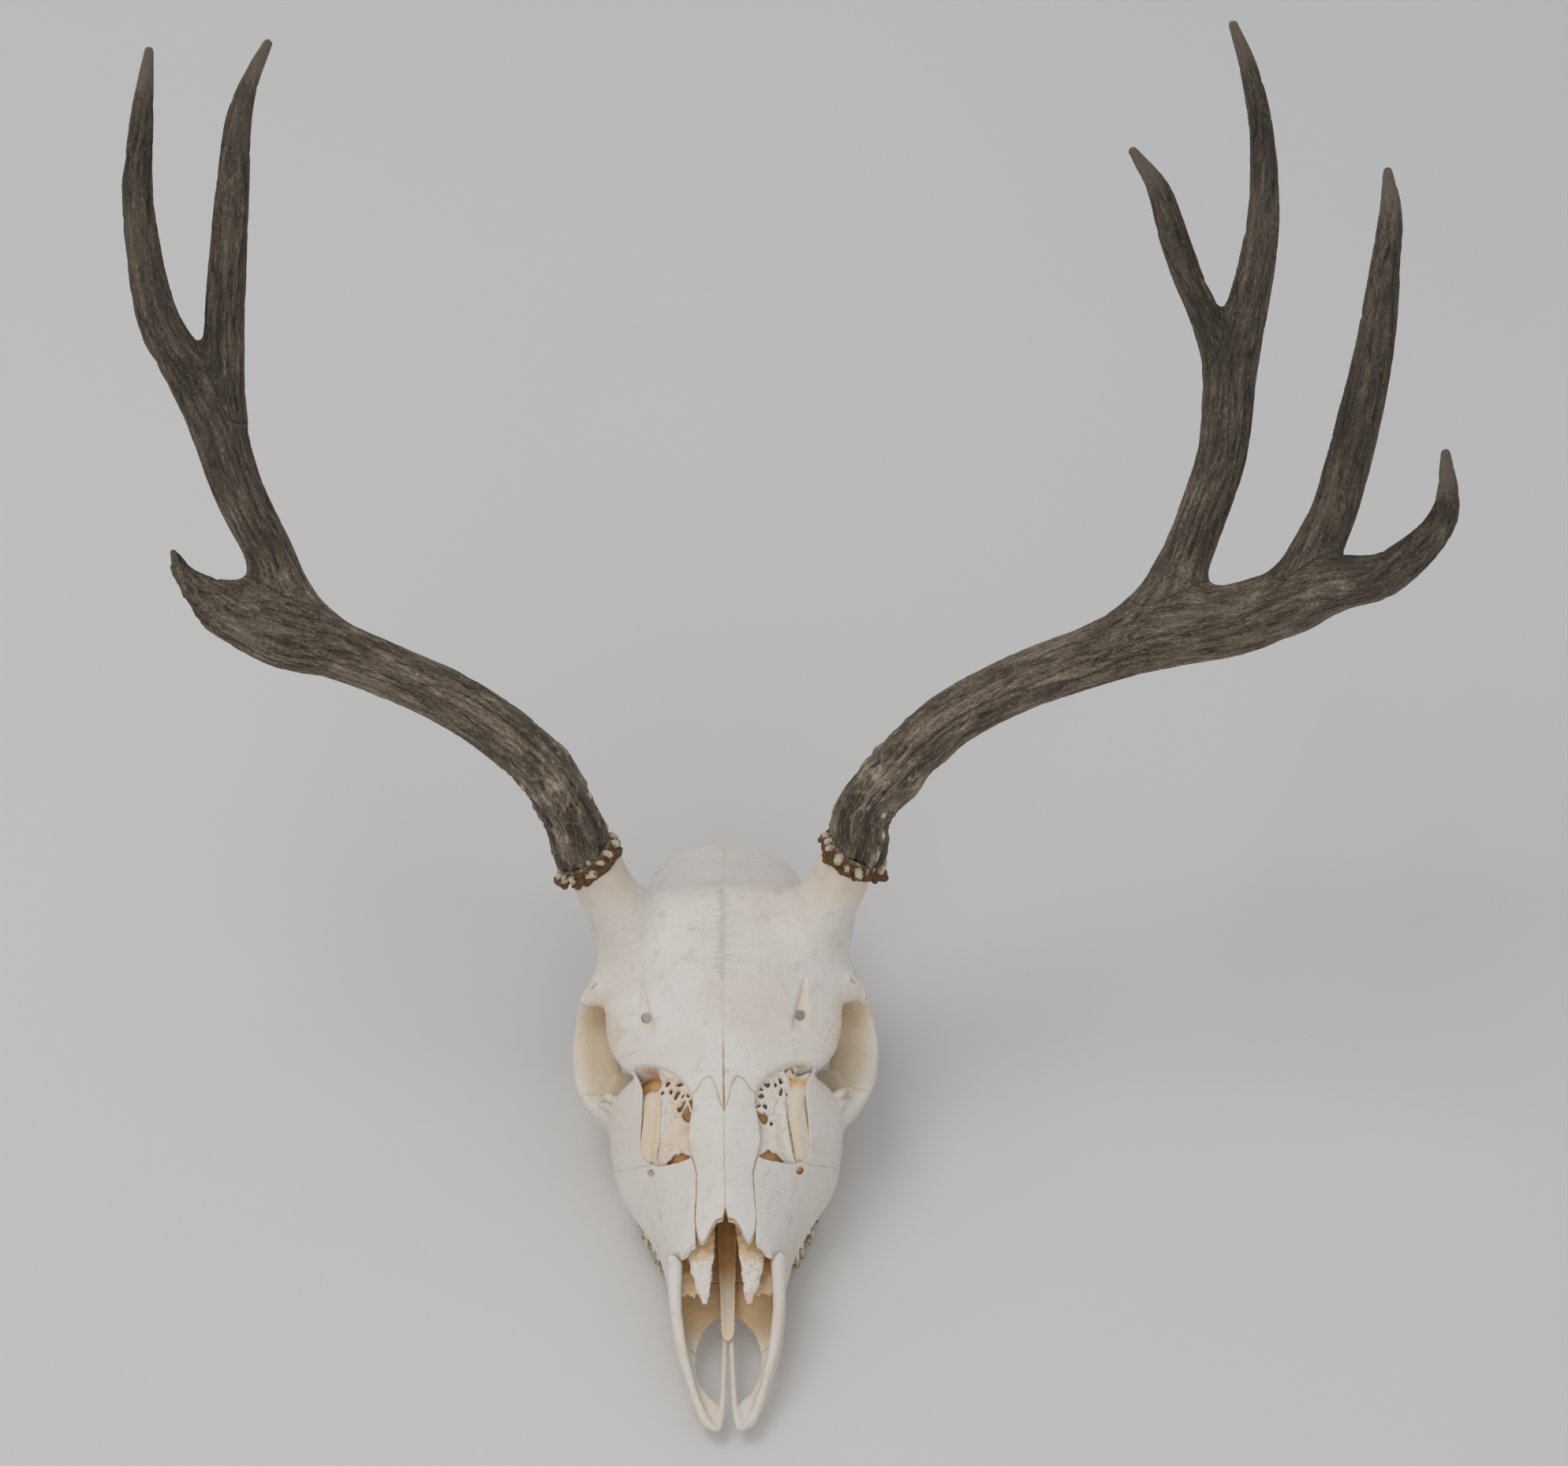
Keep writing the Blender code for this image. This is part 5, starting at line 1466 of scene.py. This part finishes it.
def burr_fields(g, centre, axis, side):
    """The ring round the root of an antler, and the beads along its upper edge alone."""
    one = axis.cross(Vector((0, 0, 1))).normalized()
    two = axis.cross(one)
    field, beads = empty(g), empty(g)

    def at(angle, reach, height, radius):
        place = centre + (one * math.cos(angle) + two * math.sin(angle)) * reach + axis * height
        return *place, radius

    def spike(angle, root, ends):
        end = at(angle, *(random.uniform(*span) for span in ends))
        put(field, bar(g, (at(angle, *root), end), 1), 0.5)

    low, high = BURR_RADII
    put(field, bar(g, (at(0, 0, -BURR_HALF, low), at(0, 0, BURR_HALF, high)), 1))
    field = meet(field, np.abs(plane(g, centre, axis)) - BURR_HALF)
    out_angle = math.atan2(two[0] * side, one[0] * side)
    for row in range(LUMP_COUNT):
        spike(2 * math.pi * (row + random.uniform(-0.4, 0.4)) / LUMP_COUNT, LUMP_ROOT, LUMP_ENDS)
    for row in range(BEAD_COUNT):
        angle = 2 * math.pi * (row + random.uniform(-0.3, 0.3)) / BEAD_COUNT
        outwards = 0.5 + 0.5 * math.cos(angle - out_angle)
        size = random.uniform(1.0, 1.8)
        low = random.uniform(-2.0, 1.8)
        reach = 13.5 + 0.8 * outwards + random.uniform(-0.3, 0.4)
        lean = random.uniform(-0.08, 0.08)
        head = at(angle + lean, reach + 0.1, low + random.uniform(0.5, 2.6), size * 0.9)
        put(beads, bar(g, (at(angle, reach + 0.5, low, size), head), 1), 0.2)
    field = union(field, beads, 0.5)
    for _ in range(KNOB_COUNT):
        spike(out_angle + random.uniform(-0.55, 0.55), KNOB_ROOT, KNOB_ENDS)
    return meet(field, -plane(g, centre, axis) - BURR_CUT), beads


def burr(look, side, label):
    """The burr as a brown skirt with pale beads."""
    axis = PEDICLE_AXIS * Vector((side, 1, 1))
    centre = Vector(over_pedicle(side, BURR_MIDDLE))
    middle = np.array(centre)
    g = grid(middle - BURR_REACH, middle + BURR_REACH, FINE_STEP)
    field, beads = burr_fields(g, centre, axis, side)
    points, quads = largest_body(*surface(field, g))
    points = uneven(points, quads, 2.2, 3, 0.32)
    rise = (points - middle) @ np.array(axis)
    lumps = layered(points, 2.4, 2)
    pearl = ease(sample(beads, g, points) + 0.45 * lumps, 0.7, 0.1) * ease(rise + 1.2 * lumps, -1.6, 0.2)
    values = {
        "height": lumps * 0.5 - 0.2, "pearl": pearl, "rust": ease(rise + lumps, 4.0, 2.2),
        "tip": pearl * 0, "broken": pearl * 0, "grain": points,
    }
    return make(f"burr_{label}", points, quads, look, values, [f"antler_{label}_burr"])


def build_antlers(look, burr_look):
    lengths = {
        1: (LEFT_BEAM, LEFT_FRONT, LEFT_REAR, LEFT_REAR_TINE, LEFT_FRONT_TINE),
        -1: (RIGHT_BEAM, RIGHT_FRONT, RIGHT_REAR, RIGHT_REAR_TINE),
    }
    for side, label in SIDES:
        beam, front, *others = lengths[side]
        root = [(*over_pedicle(side, height), radius) for height, radius in ROOT]
        names = ("beam", "front", "rear", "rear_tine", "front_tine")[: len(others) + 2]
        nodes = [f"antler_{label}_{name}" for name in names]
        antler(look, side, label, (*root, *beam, *front), others, nodes)
        burr(burr_look, side, label)


# ---- floor, light and camera ----

FLOOR_HALF = 9.0  # half the floor's width, m
WORLD_COLOUR, WORLD_STRENGTH = (0.93, 0.95, 1.0, 1), 0.52
LIGHT_COLOUR = (1.0, 0.98, 0.95)
LIGHTS = (("key", (-0.8, 0.25, 2.5), 1.3, 13.5), ("front", (-0.2, -1.7, 1.1), 1.2, 5.0))  # place, size, watts
CLIP_END = 20


def build_floor():
    mesh = bpy.data.meshes.new("floor")
    corners = [(x * FLOOR_HALF, y * FLOOR_HALF, 0) for x, y in ((-1, -1), (1, -1), (1, 1), (-1, 1))]
    mesh.from_pydata(corners, [], [(0, 1, 2, 3)])
    mesh.materials.append(floor_material())
    floor = bpy.data.objects.new("floor", mesh)
    bpy.context.scene.collection.objects.link(floor)


def build_lights():
    world = bpy.data.worlds.new("soft_light")
    world.use_nodes = True
    background = world.node_tree.nodes["Background"]
    background.inputs["Color"].default_value = WORLD_COLOUR
    background.inputs["Strength"].default_value = WORLD_STRENGTH
    bpy.context.scene.world = world
    for name, place, size, power in LIGHTS:
        light = bpy.data.lights.new(name, "AREA")
        light.size, light.energy = size, power
        light.color = LIGHT_COLOUR
        lamp = bpy.data.objects.new(name, light)
        lamp.location = place
        lamp.rotation_euler = (-Vector(place)).to_track_quat("-Z", "Y").to_euler()
        bpy.context.scene.collection.objects.link(lamp)
    bpy.context.scene.view_settings.view_transform = "Standard"


def build_camera():
    camera = bpy.data.cameras.new("camera")
    camera.lens, camera.sensor_width, camera.sensor_fit = LENS, SENSOR, "HORIZONTAL"
    camera.clip_end = CLIP_END
    eye = bpy.data.objects.new("camera", camera)
    tilt = math.radians(90 - CAMERA_ELEVATION)
    turn = Matrix.Rotation(tilt, 4, "X") @ Matrix.Rotation(math.radians(CAMERA_ROLL), 4, "Z")
    back = turn.to_3x3() @ Vector((0, 0, 1))
    place = Vector((np.array(AIM) - ORIGIN) * MM) + back * CAMERA_DISTANCE * MM
    eye.matrix_world = Matrix.Translation(place) @ turn
    bpy.context.scene.collection.objects.link(eye)
    bpy.context.scene.camera = eye


build_camera()
build_floor()
build_lights()
build_bones(bone_material())
build_nose(inner_bone_material())
build_antlers(antler_material("antler"), antler_material("burr"))
